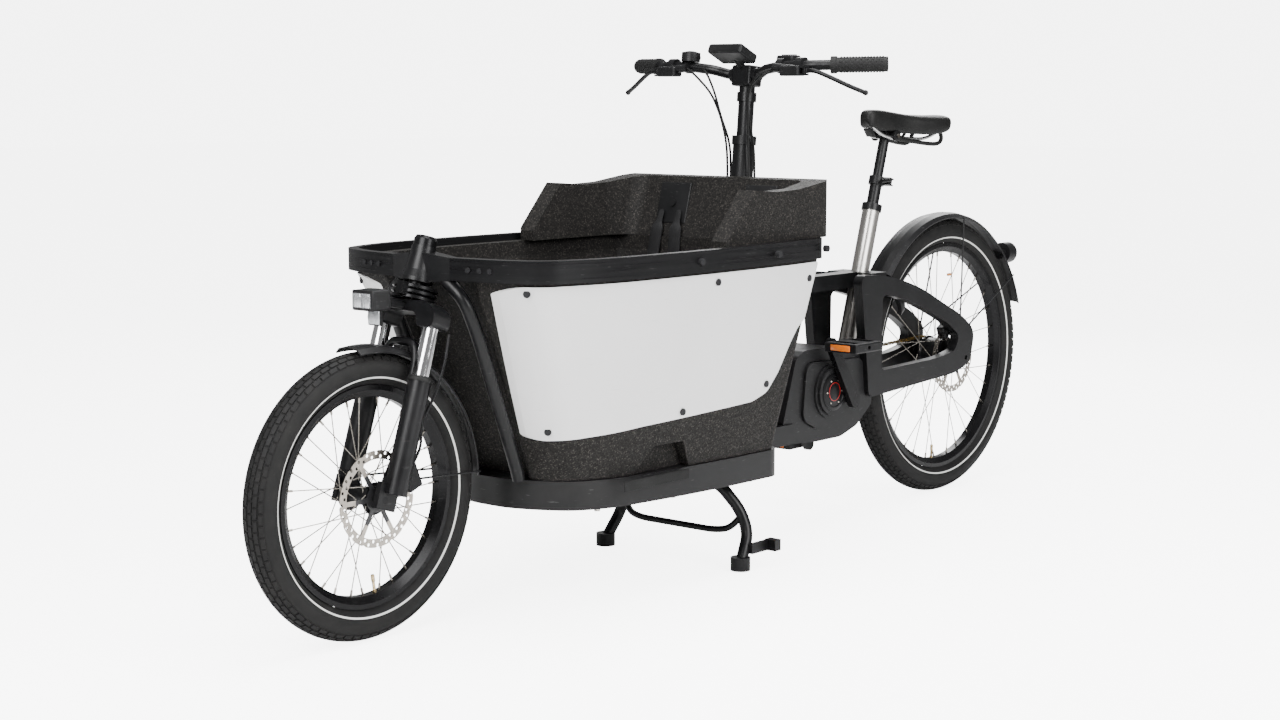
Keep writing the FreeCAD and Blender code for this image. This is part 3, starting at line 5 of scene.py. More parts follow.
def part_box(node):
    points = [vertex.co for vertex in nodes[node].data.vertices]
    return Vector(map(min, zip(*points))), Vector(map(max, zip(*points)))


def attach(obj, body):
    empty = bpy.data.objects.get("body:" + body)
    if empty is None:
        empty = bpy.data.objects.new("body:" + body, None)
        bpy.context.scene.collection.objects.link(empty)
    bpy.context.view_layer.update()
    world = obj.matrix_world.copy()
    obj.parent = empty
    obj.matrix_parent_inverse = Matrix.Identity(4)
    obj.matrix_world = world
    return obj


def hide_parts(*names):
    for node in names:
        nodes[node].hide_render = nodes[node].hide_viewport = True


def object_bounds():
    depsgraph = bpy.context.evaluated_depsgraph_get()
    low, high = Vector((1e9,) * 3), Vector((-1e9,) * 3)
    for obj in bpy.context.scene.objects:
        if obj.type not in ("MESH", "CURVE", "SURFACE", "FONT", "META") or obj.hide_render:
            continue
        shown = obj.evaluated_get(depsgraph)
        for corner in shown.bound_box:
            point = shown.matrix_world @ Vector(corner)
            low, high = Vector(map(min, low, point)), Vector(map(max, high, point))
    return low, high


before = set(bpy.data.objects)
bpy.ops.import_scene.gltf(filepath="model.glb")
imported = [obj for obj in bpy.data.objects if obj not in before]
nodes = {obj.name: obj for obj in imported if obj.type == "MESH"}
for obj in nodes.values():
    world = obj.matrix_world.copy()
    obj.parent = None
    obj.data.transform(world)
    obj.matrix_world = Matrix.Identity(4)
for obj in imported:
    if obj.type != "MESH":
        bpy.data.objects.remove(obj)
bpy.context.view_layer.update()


# ---------------------------------------------------------------- painted frame
# The frame, fork and stand are welded tubes under a satin black powder coat: a fine orange
# peel, faint uneven gloss and a few pale rub marks where hands and shoes brush past.
def put(tree, kind, inputs=None, **settings):
    """Add a node, set its properties and fill or link its inputs."""
    made = tree.nodes.new(kind)
    for name, value in settings.items():
        setattr(made, name, value)
    for name, value in (inputs or {}).items():
        if isinstance(value, bpy.types.NodeSocket):
            tree.links.new(value, made.inputs[name])
        else:
            made.inputs[name].default_value = value
    return made


def shader_group(name, inputs, outputs):
    tree = bpy.data.node_groups.new(name, "ShaderNodeTree")
    for label, kind in inputs:
        tree.interface.new_socket(name=label, in_out="INPUT", socket_type="NodeSocket" + kind)
    for label, kind in outputs:
        tree.interface.new_socket(name=label, in_out="OUTPUT", socket_type="NodeSocket" + kind)
    return tree, tree.nodes.new("NodeGroupInput").outputs, tree.nodes.new("NodeGroupOutput").inputs


# cloudy change between two colours, with a value to vary the gloss by
cloudy, given, result = shader_group(
    "cloudy_colour",
    [("Place", "Vector"), ("Size", "Float"), ("Amount", "Float"), ("Colour", "Color"), ("Worn", "Color")],
    [("Colour", "Color"), ("Gloss", "Float")])
broad = put(cloudy, "ShaderNodeTexNoise", {"Vector": given["Place"], "Scale": given["Size"], "Detail": 5.0})
near = put(cloudy, "ShaderNodeMapRange", {"Value": broad.outputs["Fac"], "From Min": 0.38, "From Max": 0.72})
share = put(cloudy, "ShaderNodeMath", {0: near.outputs["Result"], 1: given["Amount"]}, operation="MULTIPLY")
blended = put(cloudy, "ShaderNodeMix", {0: share.outputs[0], 6: given["Colour"], 7: given["Worn"]},
              data_type="RGBA")
cloudy.links.new(blended.outputs[2], result["Colour"])
cloudy.links.new(broad.outputs["Fac"], result["Gloss"])

# fine raised grain, as a normal
grain, given, result = shader_group(
    "fine_grain", [("Place", "Vector"), ("Size", "Float"), ("Depth", "Float")], [("Normal", "Vector")])
fine = put(grain, "ShaderNodeTexNoise", {"Vector": given["Place"], "Scale": given["Size"], "Detail": 3.0})
raised = put(grain, "ShaderNodeBump",
             {"Height": fine.outputs["Fac"], "Distance": given["Depth"], "Strength": 0.8})
grain.links.new(raised.outputs["Normal"], result["Normal"])

# thin pale scratches, as a mask
scratches, given, result = shader_group(
    "thin_scratches", [("Place", "Vector"), ("Size", "Float"), ("Amount", "Float")], [("Mask", "Float")])
drawn = put(scratches, "ShaderNodeMapping", {"Vector": given["Place"], "Scale": (1.0, 1.0, 9.0)})
lines = put(scratches, "ShaderNodeTexNoise",
            {"Vector": drawn.outputs[0], "Scale": given["Size"], "Detail": 8.0})
sharp = put(scratches, "ShaderNodeMapRange",
            {"Value": lines.outputs["Fac"], "From Min": 0.66, "From Max": 0.72})
kept = put(scratches, "ShaderNodeMath", {0: sharp.outputs["Result"], 1: given["Amount"]},
           operation="MULTIPLY")
scratches.links.new(kept.outputs[0], result["Mask"])


def finish(name, colour, worn, rough, metal=0.0, cloud=(14.0, 0.5), texture=(900.0, 0.00004),
           marks=(60.0, 0.25),
           mark_colour=(0.2, 0.2, 0.2, 1), stretch=(1, 1, 1), coat=0.0):
    """A surface with cloudy colour, uneven gloss, fine grain and thin marks, on Object coordinates."""
    material = bpy.data.materials.new(name)
    material.use_nodes = True
    tree = material.node_tree
    surface = tree.nodes["Principled BSDF"]
    place = put(tree, "ShaderNodeTexCoord").outputs["Object"]
    drawn_out = put(tree, "ShaderNodeMapping", {"Vector": place, "Scale": stretch}).outputs[0]
    clouds = put(tree, "ShaderNodeGroup", node_tree=cloudy)
    rub = put(tree, "ShaderNodeGroup", node_tree=scratches)
    skin = put(tree, "ShaderNodeGroup", node_tree=grain)
    for group, values in ((clouds, {"Place": drawn_out, "Size": cloud[0], "Amount": cloud[1],
                                    "Colour": (*colour, 1), "Worn": (*worn, 1)}),
                          (rub, {"Place": place, "Size": marks[0], "Amount": marks[1]}),
                          (skin, {"Place": drawn_out, "Size": texture[0], "Depth": texture[1]})):
        for label, value in values.items():
            if isinstance(value, bpy.types.NodeSocket):
                tree.links.new(value, group.inputs[label])
            else:
                group.inputs[label].default_value = value
    marked = put(tree, "ShaderNodeMix", {0: rub.outputs["Mask"], 6: clouds.outputs["Colour"], 7: mark_colour},
                 data_type="RGBA")
    uneven = put(tree, "ShaderNodeMapRange",
                 {"Value": clouds.outputs["Gloss"], "From Min": 0.3, "From Max": 0.7,
                                              "To Min": rough - 0.06, "To Max": rough + 0.08})
    tree.links.new(marked.outputs[2], surface.inputs["Base Color"])
    tree.links.new(uneven.outputs["Result"], surface.inputs["Roughness"])
    tree.links.new(skin.outputs["Normal"], surface.inputs["Normal"])
    surface.inputs["Metallic"].default_value = metal
    surface.inputs["Coat Weight"].default_value = coat
    surface.inputs["Specular IOR Level"].default_value = 0.22 if max(colour) < 0.03 else 0.5
    return material


def dress(material, *names):
    """Give CAD nodes their material."""
    for name in names:
        data = nodes[name].data
        data.materials.clear()
        data.materials.append(material)


frame_paint = finish("satin_black_paint", (0.0045, 0.0045, 0.005), (0.009, 0.009, 0.0095), 0.34,
                     marks=(38.0, 0.1),
                     texture=(1400.0, 0.00003))
dress(frame_paint, "head_tube", "down_tubes", "rear_beams", "top_tube", "rear_triangle", "fork_crown",
      "fork_lowers",
      "steering_column", "handlebar_stem", "handlebar", "seat_extension", "seatpost", "stand_legs",
      "ring_lock")


# ---------------------------------------------------------------- foam box and back rest
# The tub and its back rest are moulded from expanded foam: beads a few millimetres wide pressed
# together, each a slightly different grey brown, with a dull skin and tiny pits between them.
def foam_surface():
    material = bpy.data.materials.new("moulded_foam")
    material.use_nodes = True
    tree = material.node_tree
    surface = tree.nodes["Principled BSDF"]
    place = put(tree, "ShaderNodeTexCoord").outputs["Object"]
    beads = put(tree, "ShaderNodeTexVoronoi", {"Vector": place, "Scale": 460.0})
    tone = put(tree, "ShaderNodeSeparateColor", {"Color": beads.outputs["Color"]})
    colours = put(tree, "ShaderNodeValToRGB", {"Fac": tone.outputs["Red"]})
    ramp = colours.color_ramp
    ramp.elements[0].color = (0.005, 0.0047, 0.0045, 1)
    ramp.elements[1].color = (0.045, 0.041, 0.037, 1)
    middle = ramp.elements.new(0.62)
    middle.color = (0.0105, 0.0097, 0.009, 1)
    upper = ramp.elements.new(0.86)
    upper.color = (0.017, 0.0158, 0.0145, 1)
    clouds = put(tree, "ShaderNodeTexNoise", {"Vector": place, "Scale": 9.0, "Detail": 4.0})
    shade = put(tree, "ShaderNodeMapRange", {"Value": clouds.outputs["Fac"], "To Min": 0.75, "To Max": 1.2})
    tinted = put(tree, "ShaderNodeMix", {0: 1.0, 6: colours.outputs["Color"], 7: shade.outputs["Result"]},
                 data_type="RGBA", blend_type="MULTIPLY")
    pits = put(tree, "ShaderNodeTexVoronoi", {"Vector": place, "Scale": 460.0}, feature="DISTANCE_TO_EDGE")
    bump = put(tree, "ShaderNodeBump",
               {"Height": pits.outputs["Distance"], "Distance": 0.0006, "Strength": 0.6})
    gloss = put(tree, "ShaderNodeMapRange", {"Value": tone.outputs["Green"], "To Min": 0.52, "To Max": 0.85})
    tree.links.new(tinted.outputs[2], surface.inputs["Base Color"])
    tree.links.new(gloss.outputs["Result"], surface.inputs["Roughness"])
    tree.links.new(bump.outputs["Normal"], surface.inputs["Normal"])
    surface.inputs["Specular IOR Level"].default_value = 0.16
    return material


dress(foam_surface(), "foam_tub", "foam_backrest")


# ---------------------------------------------------------------- side panels
# Thin off-white plastic sheets bent round the sides of the foam, with a satin face that carries
# faint smears and short scratches.
dress(finish("white_panel", (0.74, 0.735, 0.735), (0.69, 0.685, 0.68), 0.34, cloud=(5.0, 0.6),
             marks=(26.0, 0.2),
             texture=(260.0, 0.00003), mark_colour=(0.5, 0.49, 0.48, 1)), "side_panels")
# The CAD leaves a loose strip of the sheet round each front corner of the box; it gets the foam's
# surface, so that it does not show as white.
panel = nodes["side_panels"].data
panel.materials.append(bpy.data.materials["moulded_foam"])
strip_reach = 0.13
touching = {}
for face in panel.polygons:
    for index in face.vertices:
        touching.setdefault(tuple(round(value, 5) for value in panel.vertices[index].co),
                            []).append(face.index)
unseen = set(range(len(panel.polygons)))
while unseen:
    waiting = [unseen.pop()]
    island = []
    while waiting:
        face = panel.polygons[waiting.pop()]
        island.append(face)
        for index in face.vertices:
            for other in touching[tuple(round(value, 5) for value in panel.vertices[index].co)]:
                if other in unseen:
                    unseen.discard(other)
                    waiting.append(other)
    if max(abs(panel.vertices[index].co.y) for face in island for index in face.vertices) < strip_reach:
        for face in island:
            face.material_index = 1


# ---------------------------------------------------------------- rim of the box, floor band and fasteners
# The rim is an extruded black rail and the band at the foot a matt moulding; black buttons and
# rivets hold the panels, while the bolts under the floor are bare zinc-plated steel.
dress(finish("black_rail", (0.005, 0.005, 0.0055), (0.01, 0.01, 0.0105), 0.3, metal=0.2,
             stretch=(0.2, 0.2, 12.0),
             texture=(160.0, 0.00003), marks=(40.0, 0.12)), "box_rail")
dress(finish("floor_moulding", (0.008, 0.008, 0.0085), (0.015, 0.0145, 0.014), 0.42, texture=(520.0, 0.00008),
             marks=(30.0, 0.2)), "floor_frame")


def two_tone(name, split, below, above):
    """Bare metal below a height and black above it, each with its own fine scratches."""
    material = finish(name, above, tuple(value * 1.6 for value in above), 0.4, marks=(220.0, 0.3))
    tree = material.node_tree
    surface = tree.nodes["Principled BSDF"]
    height = put(tree, "ShaderNodeSeparateXYZ", {"Vector": put(tree, "ShaderNodeTexCoord").outputs["Object"]})
    bare = put(tree, "ShaderNodeMath", {0: height.outputs["Z"], 1: split}, operation="LESS_THAN")
    old = surface.inputs["Base Color"].links[0].from_socket
    tree.links.new(put(tree, "ShaderNodeMix", {0: bare.outputs[0], 6: old, 7: (*below, 1)},
                       data_type="RGBA").outputs[2], surface.inputs["Base Color"])
    tree.links.new(bare.outputs[0], surface.inputs["Metallic"])
    return material


dress(two_tone("fastener_metal", 0.22, (0.55, 0.52, 0.47), (0.012, 0.012, 0.013)), "box_fasteners")


def mesh_piece(name, shape, material, body, smooth=35):
    """Turn a bmesh into a finished piece that rides on a body."""
    bmesh.ops.remove_doubles(shape, verts=shape.verts, dist=0.00001)
    bmesh.ops.recalc_face_normals(shape, faces=shape.faces)
    data = bpy.data.meshes.new(name)
    shape.to_mesh(data)
    shape.free()
    for face in data.polygons:
        face.use_smooth = True
    data.set_sharp_from_angle(angle=math.radians(smooth))
    data.materials.append(material)
    piece = bpy.data.objects.new(name, data)
    bpy.context.scene.collection.objects.link(piece)
    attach(piece, body)
    return piece


def add_slab(shape, middle, size, turn=Quaternion(), edge=0.002, steps=2):
    """A box with rounded edges."""
    made = bmesh.ops.create_cube(shape, size=1.0)["verts"]
    bmesh.ops.scale(shape, vec=size, verts=made)
    sides = list({line for vert in made for line in vert.link_edges})
    cornered = bmesh.ops.bevel(shape, geom=sides, offset=edge, segments=steps, affect="EDGES", profile=0.5)
    corners = list({vert for face in cornered["faces"] for vert in face.verts})
    moved = corners + [vert for vert in made if vert.is_valid and vert not in corners]
    bmesh.ops.rotate(shape, cent=(0, 0, 0), matrix=turn.to_matrix(), verts=moved)
    bmesh.ops.translate(shape, vec=middle, verts=moved)


grip_strip = finish("gritty_strip", (0.008, 0.008, 0.008), (0.03, 0.03, 0.03), 0.85, texture=(700.0, 0.0009),
                    marks=(90.0, 0.0))
low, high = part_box("floor_frame")
for side in (1, -1):
    shape = bmesh.new()
    add_slab(shape, (0.46, side * (high.y + 0.0006), high.z - 0.011), (0.196, 0.0024, 0.02), edge=0.0011)
    mesh_piece("step_pad_left" if side > 0 else "step_pad_right", shape, grip_strip, "frame")


# ---------------------------------------------------------------- tyres
# Wide tyres of dusty black rubber: staggered rows of low blocks with thin grooves between them,
# plain walls and a narrow pale band beside the rim that shines back at headlights.
def tyre_surface(name, axle, band):
    material = finish(name, (0.0045, 0.0045, 0.0045), (0.012, 0.0115, 0.011), 0.68, cloud=(30.0, 0.8),
                      marks=(75.0, 0.12),
                      texture=(900.0, 0.0001), mark_colour=(0.08, 0.075, 0.068, 1))
    tree = material.node_tree
    surface = tree.nodes["Principled BSDF"]
    centred = put(tree, "ShaderNodeMapping", {"Vector": put(tree, "ShaderNodeTexCoord").outputs["Object"],
                                              "Location": (-axle.x, 0, -axle.z)})
    flat = put(tree, "ShaderNodeVectorMath", {0: centred.outputs[0], 1: (1, 0, 1)}, operation="MULTIPLY")
    reach = put(tree, "ShaderNodeVectorMath", {0: flat.outputs[0]}, operation="LENGTH")
    offset = put(tree, "ShaderNodeMath", {0: reach.outputs["Value"], 1: band}, operation="SUBTRACT")
    away = put(tree, "ShaderNodeMath", {0: offset.outputs[0]}, operation="ABSOLUTE")
    on_band = put(tree, "ShaderNodeMapRange",
                  {"Value": away.outputs[0], "From Min": 0.0014, "From Max": 0.0019,
                                               "To Min": 1.0, "To Max": 0.0})
    old = surface.inputs["Base Color"].links[0].from_socket
    tree.links.new(put(tree, "ShaderNodeMix", {0: on_band.outputs["Result"], 6: old, 7: (0.62, 0.62, 0.6, 1)},
                       data_type="RGBA").outputs[2], surface.inputs["Base Color"])
    return material


def turning_tree():
    """Copies a shape round an axle parallel to Y, makes the copies real and gives them a material."""
    tree = bpy.data.node_groups.new("copies_round_axle", "GeometryNodeTree")
    for label, kind in (("Shape", "Geometry"), ("Count", "Int"), ("Axle", "Vector"), ("Finish", "Material")):
        tree.interface.new_socket(name=label, in_out="INPUT", socket_type="NodeSocket" + kind)
    tree.interface.new_socket(name="Copies", in_out="OUTPUT", socket_type="NodeSocketGeometry")
    given = tree.nodes.new("NodeGroupInput").outputs
    places = put(tree, "GeometryNodePoints", {"Count": given["Count"], "Position": given["Axle"]})
    part = put(tree, "ShaderNodeMath", {0: put(tree, "GeometryNodeInputIndex").outputs[0], 1: given["Count"]},
               operation="DIVIDE")
    angle = put(tree, "ShaderNodeMath", {0: part.outputs[0], 1: 2 * math.pi}, operation="MULTIPLY")
    turn = put(tree, "ShaderNodeCombineXYZ", {"Y": angle.outputs[0]})
    copies = put(tree, "GeometryNodeInstanceOnPoints",
                 {"Points": places.outputs[0], "Instance": given["Shape"],
                                                        "Rotation": turn.outputs[0]})
    real = put(tree, "GeometryNodeRealizeInstances", {"Geometry": copies.outputs[0]})
    covered = put(tree, "GeometryNodeSetMaterial", {"Geometry": real.outputs[0], "Material": given["Finish"]})
    tree.links.new(covered.outputs[0], tree.nodes.new("NodeGroupOutput").inputs[0])
    return tree


round_axle = turning_tree()


def grown(name, source, tree, values, material, body, smooth=35):
    """Run a Geometry Nodes tree on a piece and keep the result as a plain mesh."""
    modifier = source.modifiers.new("grow", "NODES")
    modifier.node_group = tree
    for item in tree.interface.items_tree:
        if item.in_out == "INPUT" and item.name in values:
            modifier[item.identifier] = values[item.name]
    bpy.context.view_layer.update()
    data = bpy.data.meshes.new_from_object(source.evaluated_get(bpy.context.evaluated_depsgraph_get()))
    source.modifiers.remove(modifier)
    bpy.data.objects.remove(source)
    data.name = name
    data.materials.clear()
    data.materials.append(material)
    for face in data.polygons:
        face.use_smooth = True
        face.material_index = 0
    data.set_sharp_from_angle(angle=math.radians(smooth))
    piece = bpy.data.objects.new(name, data)
    bpy.context.scene.collection.objects.link(piece)
    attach(piece, body)
    return piece


def ring_of(name, shape, count, axle, material, body):
    """Repeat a bmesh, drawn about the origin, round an axle."""
    bmesh.ops.recalc_face_normals(shape, faces=shape.faces)
    data = bpy.data.meshes.new(name + "_one")
    shape.to_mesh(data)
    shape.free()
    source = bpy.data.objects.new(name + "_one", data)
    bpy.context.scene.collection.objects.link(source)
    return grown(name, source, round_axle, {"Count": count, "Axle": axle, "Finish": material}, material,
                 body)


def add_block(shape, rounds, across, wheel, wall, rise):
    """A tread block between two angles round the wheel and two across the tyre."""
    def place(turn, tilt, height):
        reach = wheel + (wall + height) * math.cos(tilt)
        return (reach * math.cos(turn), (wall + height) * math.sin(tilt), reach * math.sin(turn))
    inset_round = (rounds[1] - rounds[0]) * 0.04
    inset_across = (across[1] - across[0]) * 0.07
    rings = []
    for height, one, two in ((-0.0012, 0, 0), (rise * 0.6, 0, 0), (rise, inset_round, inset_across)):
        rings.append([shape.verts.new(place(turn, tilt, height)) for turn, tilt in (
            (rounds[0] + one, across[0] + two), (rounds[1] - one, across[0] + two),
            (rounds[1] - one, across[1] - two), (rounds[0] + one, across[1] - two))])
    for lower, upper in zip(rings, rings[1:]):
        for index in range(4):
            shape.faces.new([lower[index - 1], lower[index], upper[index], upper[index - 1]])
    shape.faces.new(rings[-1])
    shape.faces.new(list(reversed(rings[0])))


front_axle = sum(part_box("front_rim"), Vector()) / 2
rear_axle = sum(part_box("rear_rim"), Vector()) / 2
for end, axle, pitches in (("front", front_axle, 76), ("rear", rear_axle, 98)):
    low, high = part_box(end + "_tyre")
    radius = (high.x - low.x) / 2
    wall = (high.y - low.y) / 2
    rim_low, rim_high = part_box(end + "_rim")
    rubber = tyre_surface(end + "_tyre_rubber", axle, (rim_high.x - rim_low.x) / 2 + 0.014)
    dress(rubber, end + "_tyre")
    shape = bmesh.new()
    step = 2 * math.pi / pitches
    for row in range(6):
        tilt = math.radians(-57 + 19 * row)
        shift = step * (0.5 if row % 2 else 0)
        add_block(shape, (shift, shift + step * 0.85), (tilt + math.radians(2.2), tilt + math.radians(16.8)),
                  radius - wall, wall, 0.0024)
    ring_of(end + "_tread", shape, pitches, axle, rubber, end + "_wheel")


# ---------------------------------------------------------------- rims, spokes, hubs and brake discs
# Black box-section rims laced with dull steel spokes to black hubs; each disc is ground steel
# on a black carrier, and a plated valve with a dust cap stands inside each rim.
rim_black = finish("rim_black", (0.006, 0.006, 0.0065), (0.011, 0.011, 0.0115), 0.24, metal=0.4,
                   texture=(400.0, 0.00003),
                   marks=(90.0, 0.12))
dress(rim_black, "front_rim", "rear_rim")
spoke_steel = finish("spoke_steel", (0.3, 0.28, 0.25), (0.2, 0.185, 0.165), 0.28, metal=1.0,
                     cloud=(200.0, 0.6),
                     texture=(2500.0, 0.00002))
dress(spoke_steel, "front_spokes", "rear_spokes")
hub_black = finish("hub_black", (0.008, 0.008, 0.0085), (0.016, 0.016, 0.0165), 0.3, metal=0.5,
                   texture=(900.0, 0.00003),
                   marks=(160.0, 0.25))
dress(hub_black, "front_hub", "rear_hub", "front_brake", "rear_brake", "steering_pulley", "lever_left",
      "lever_right",
      "seat_clamp_lever", "crankset")


def disc_surface(name, axle, carrier):
    """Ground steel outside a radius and black carrier inside it, with fine circular lines."""
    material = finish(name, (0.42, 0.385, 0.34), (0.3, 0.27, 0.24), 0.3, metal=1.0, cloud=(60.0, 0.5),
                      marks=(140.0, 0.2), mark_colour=(0.55, 0.52, 0.47, 1))
    tree = material.node_tree
    surface = tree.nodes["Principled BSDF"]
    centred = put(tree, "ShaderNodeMapping", {"Vector": put(tree, "ShaderNodeTexCoord").outputs["Object"],
                                              "Location": (-axle.x, 0, -axle.z)})
    flat = put(tree, "ShaderNodeVectorMath", {0: centred.outputs[0], 1: (1, 0, 1)}, operation="MULTIPLY")
    reach = put(tree, "ShaderNodeVectorMath", {0: flat.outputs[0]}, operation="LENGTH").outputs["Value"]
    inside = put(tree, "ShaderNodeMath", {0: reach, 1: carrier}, operation="LESS_THAN").outputs[0]
    rings = put(tree, "ShaderNodeTexNoise", {"W": reach, "Scale": 2600.0}, noise_dimensions="1D")
    bump = put(tree, "ShaderNodeBump", {"Height": rings.outputs["Fac"], "Distance": 0.00004, "Strength": 0.6})
    old = surface.inputs["Base Color"].links[0].from_socket
    tree.links.new(put(tree, "ShaderNodeMix", {0: inside, 6: old, 7: (0.014, 0.014, 0.015, 1)},
                       data_type="RGBA").outputs[2], surface.inputs["Base Color"])
    tree.links.new(put(tree, "ShaderNodeMath", {0: 1.0, 1: inside}, operation="SUBTRACT").outputs[0],
                   surface.inputs["Metallic"])
    tree.links.new(bump.outputs["Normal"], surface.inputs["Normal"])
    return material


dress(disc_surface("front_disc_steel", front_axle, 0.052), "front_rotor")
dress(disc_surface("rear_disc_steel", rear_axle, 0.052), "rear_rotor")


def lathe(shape, profile, start, along, steps=24):
    """Turn a list of (radius, height) round an axis."""
    turn = Vector((0, 0, 1)).rotation_difference(Vector(along).normalized())
    rings = []
    for radius, height in profile:
        if radius == 0:
            rings.append([shape.verts.new(Vector(start) + turn @ Vector((0, 0, height)))] * steps)
            continue
        rings.append([shape.verts.new(Vector(start) + turn @ Vector((
            radius * math.cos(2 * math.pi * index / steps), radius * math.sin(2 * math.pi * index / steps),
                                                                     height)))
            for index in range(steps)])
    for lower, upper in zip(rings, rings[1:]):
        for index in range(steps):
            corners = [lower[index - 1], lower[index], upper[index], upper[index - 1]]
            corners = list(dict.fromkeys(corners))
            if len(corners) > 2:
                shape.faces.new(corners)
    for ring in (rings[0], rings[-1]):
        if ring[0] is not ring[1]:
            shape.faces.new(ring)


valve_brass = finish("valve_brass", (0.6, 0.47, 0.27), (0.45, 0.34, 0.18), 0.28, metal=1.0,
                     cloud=(300.0, 0.5),
                     texture=(3000.0, 0.00002))
for end, axle, angle in (("front", front_axle, -98), ("rear", rear_axle, -86)):
    low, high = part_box(end + "_rim")
    inner = (high.x - low.x) / 2 - 0.0224
    way = Vector((math.cos(math.radians(angle)), 0, math.sin(math.radians(angle))))
    shape = bmesh.new()
    profile = [(0.0, 0.0), (0.0042, 0.0), (0.0042, 0.003), (0.0027, 0.004)]
    for thread in range(8):
        profile += [(0.0031, 0.0052 + thread * 0.0018), (0.0026, 0.0061 + thread * 0.0018)]
    profile += [(0.0038, 0.021), (0.0038, 0.032), (0.003, 0.034), (0.0, 0.034)]
    lathe(shape, profile, axle + way * (inner + 0.001), -way, 16)
    mesh_piece(end + "_valve", shape, valve_brass, end + "_wheel")


clip_amber = finish("spoke_clip", (0.5, 0.2, 0.06), (0.3, 0.12, 0.04), 0.3, texture=(600.0, 0.0002), coat=0.3)
for end, axle, angle, share in (("front", front_axle, 152, 0.6), ("rear", rear_axle, 96, 0.72)):
    low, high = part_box(end + "_rim")
    reach = (high.x - low.x) / 2 * share
    way = Vector((math.cos(math.radians(angle)), 0, math.sin(math.radians(angle))))
    shape = bmesh.new()
    add_slab(shape, axle + way * reach + Vector((0, 0.019, 0)), (0.016, 0.006, 0.007), edge=0.0016)
    mesh_piece(end + "_spoke_clip", shape, clip_amber, end + "_wheel")


# ---------------------------------------------------------------- fork legs and seat tube
# The fork slides on polished chromed legs with a rubber wiper on each; the seat tube is bare
# aluminium brushed lengthwise under a clear coat.
dress(finish("polished_chrome", (0.72, 0.72, 0.73), (0.55, 0.55, 0.56), 0.1, metal=1.0, cloud=(80.0, 0.3),
             texture=(2600.0, 0.00001), marks=(200.0, 0.12)), "stanchions")
bright_chrome = nodes["stanchions"].data.materials[0]
dress(bright_chrome, "lock_shackle")
dress(finish("brushed_silver", (0.5, 0.485, 0.46), (0.4, 0.385, 0.36), 0.3, metal=1.0, cloud=(18.0, 0.5),
             stretch=(1, 1, 0.03), texture=(1500.0, 0.00006), marks=(60.0, 0.2), coat=0.3), "seat_tube")
soft_black = finish("black_rubber", (0.007, 0.007, 0.007), (0.016, 0.016, 0.016), 0.6,
                    texture=(800.0, 0.00012),
                    marks=(120.0, 0.15))
steering = Vector((-math.sin(math.radians(18)), 0, math.cos(math.radians(18))))
for side in (1, -1):
    shape = bmesh.new()
    foot = Vector((0.860, 0.065 * side, 0.690)) + steering * ((0.570 - 0.690) / steering.z - 0.0995)
    lathe(shape,
          [(0.0163, 0.0), (0.0232, 0.0), (0.0236, 0.004), (0.022, 0.008), (0.019, 0.010), (0.0163, 0.0102)],
          foot, steering, 32)
    mesh_piece("wiper_left" if side > 0 else "wiper_right", shape, soft_black, "fork_slider")


# ---------------------------------------------------------------- plastic covers
# Mudguards, motor cover, lamps and controls are fine-grained black plastic mouldings.
moulded = finish("moulded_black", (0.0065, 0.0065, 0.007), (0.013, 0.013, 0.0135), 0.4,
                 texture=(1100.0, 0.00012),
                 marks=(50.0, 0.2))
dress(moulded, "front_mudguard", "rear_mudguard", "motor_carrier", "display", "bar_controls", "headlight",
      "harness_plates", "pedal_left", "pedal_right", "tail_light")
dress(finish("motor_cover", (0.009, 0.009, 0.0095), (0.016, 0.016, 0.0165), 0.46, texture=(700.0, 0.0002),
             marks=(44.0, 0.2)), "motor_housing")
dress(soft_black, "control_cables", "grip_left", "grip_right", "remote_key_minus", "remote_key_plus")
dress(finish("key_brass", (0.62, 0.48, 0.22), (0.45, 0.33, 0.14), 0.3, metal=1.0,
             texture=(1800.0, 0.00003)), "lock_key")


# ---------------------------------------------------------------- motor trim
# A round cap sits in the side of the motor cover, with a raised rim, ring of small screws and a
# thin red line round its middle.
red_line = finish("red_enamel", (0.42, 0.012, 0.012), (0.3, 0.01, 0.01), 0.3, coat=0.4)
low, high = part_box("motor_housing")
face = Vector((-0.352, high.y - 0.0004, 0.318))
shape = bmesh.new()
lathe(shape, [(0.0, 0.0), (0.044, 0.0), (0.044, 0.0018), (0.0415, 0.003), (0.036, 0.0032), (0.0345, 0.0016),
              (0.022, 0.0014), (0.02, 0.0026), (0.012, 0.0034), (0.0, 0.0036)], face, (0, 1, 0), 48)
mesh_piece("motor_cap", shape, hub_black, "frame")
shape = bmesh.new()
lathe(shape, [(0.0216, 0.0012), (0.0216, 0.003), (0.0204, 0.003), (0.0204, 0.0012)], face, (0, 1, 0), 48)
mesh_piece("motor_cap_line", shape, red_line, "frame")
shape = bmesh.new()
lathe(shape, [(0.0, 0.0), (0.0024, 0.0), (0.0024, 0.0014), (0.0018, 0.002), (0.0, 0.0008)], (0.029, 0, 0),
      (0, 1, 0), 6)
ring_of("motor_cap_screws", shape, 6, face + Vector((0, 0.0014, 0)), spoke_steel, "frame")


# ---------------------------------------------------------------- chain, chainring and sprocket teeth
# A roller chain of gold-tinted plates runs round the chainring and the hub sprocket; outer and
# inner links alternate along it, joined by round pins.
chain_gold = finish("chain_gold", (0.42, 0.3, 0.12), (0.2, 0.14, 0.06), 0.34, metal=1.0, cloud=(220.0, 0.8),
                    texture=(2000.0, 0.00003))
big = Vector((-0.414, -0.046, 0.294))
small = Vector((rear_axle.x, -0.046, rear_axle.z))


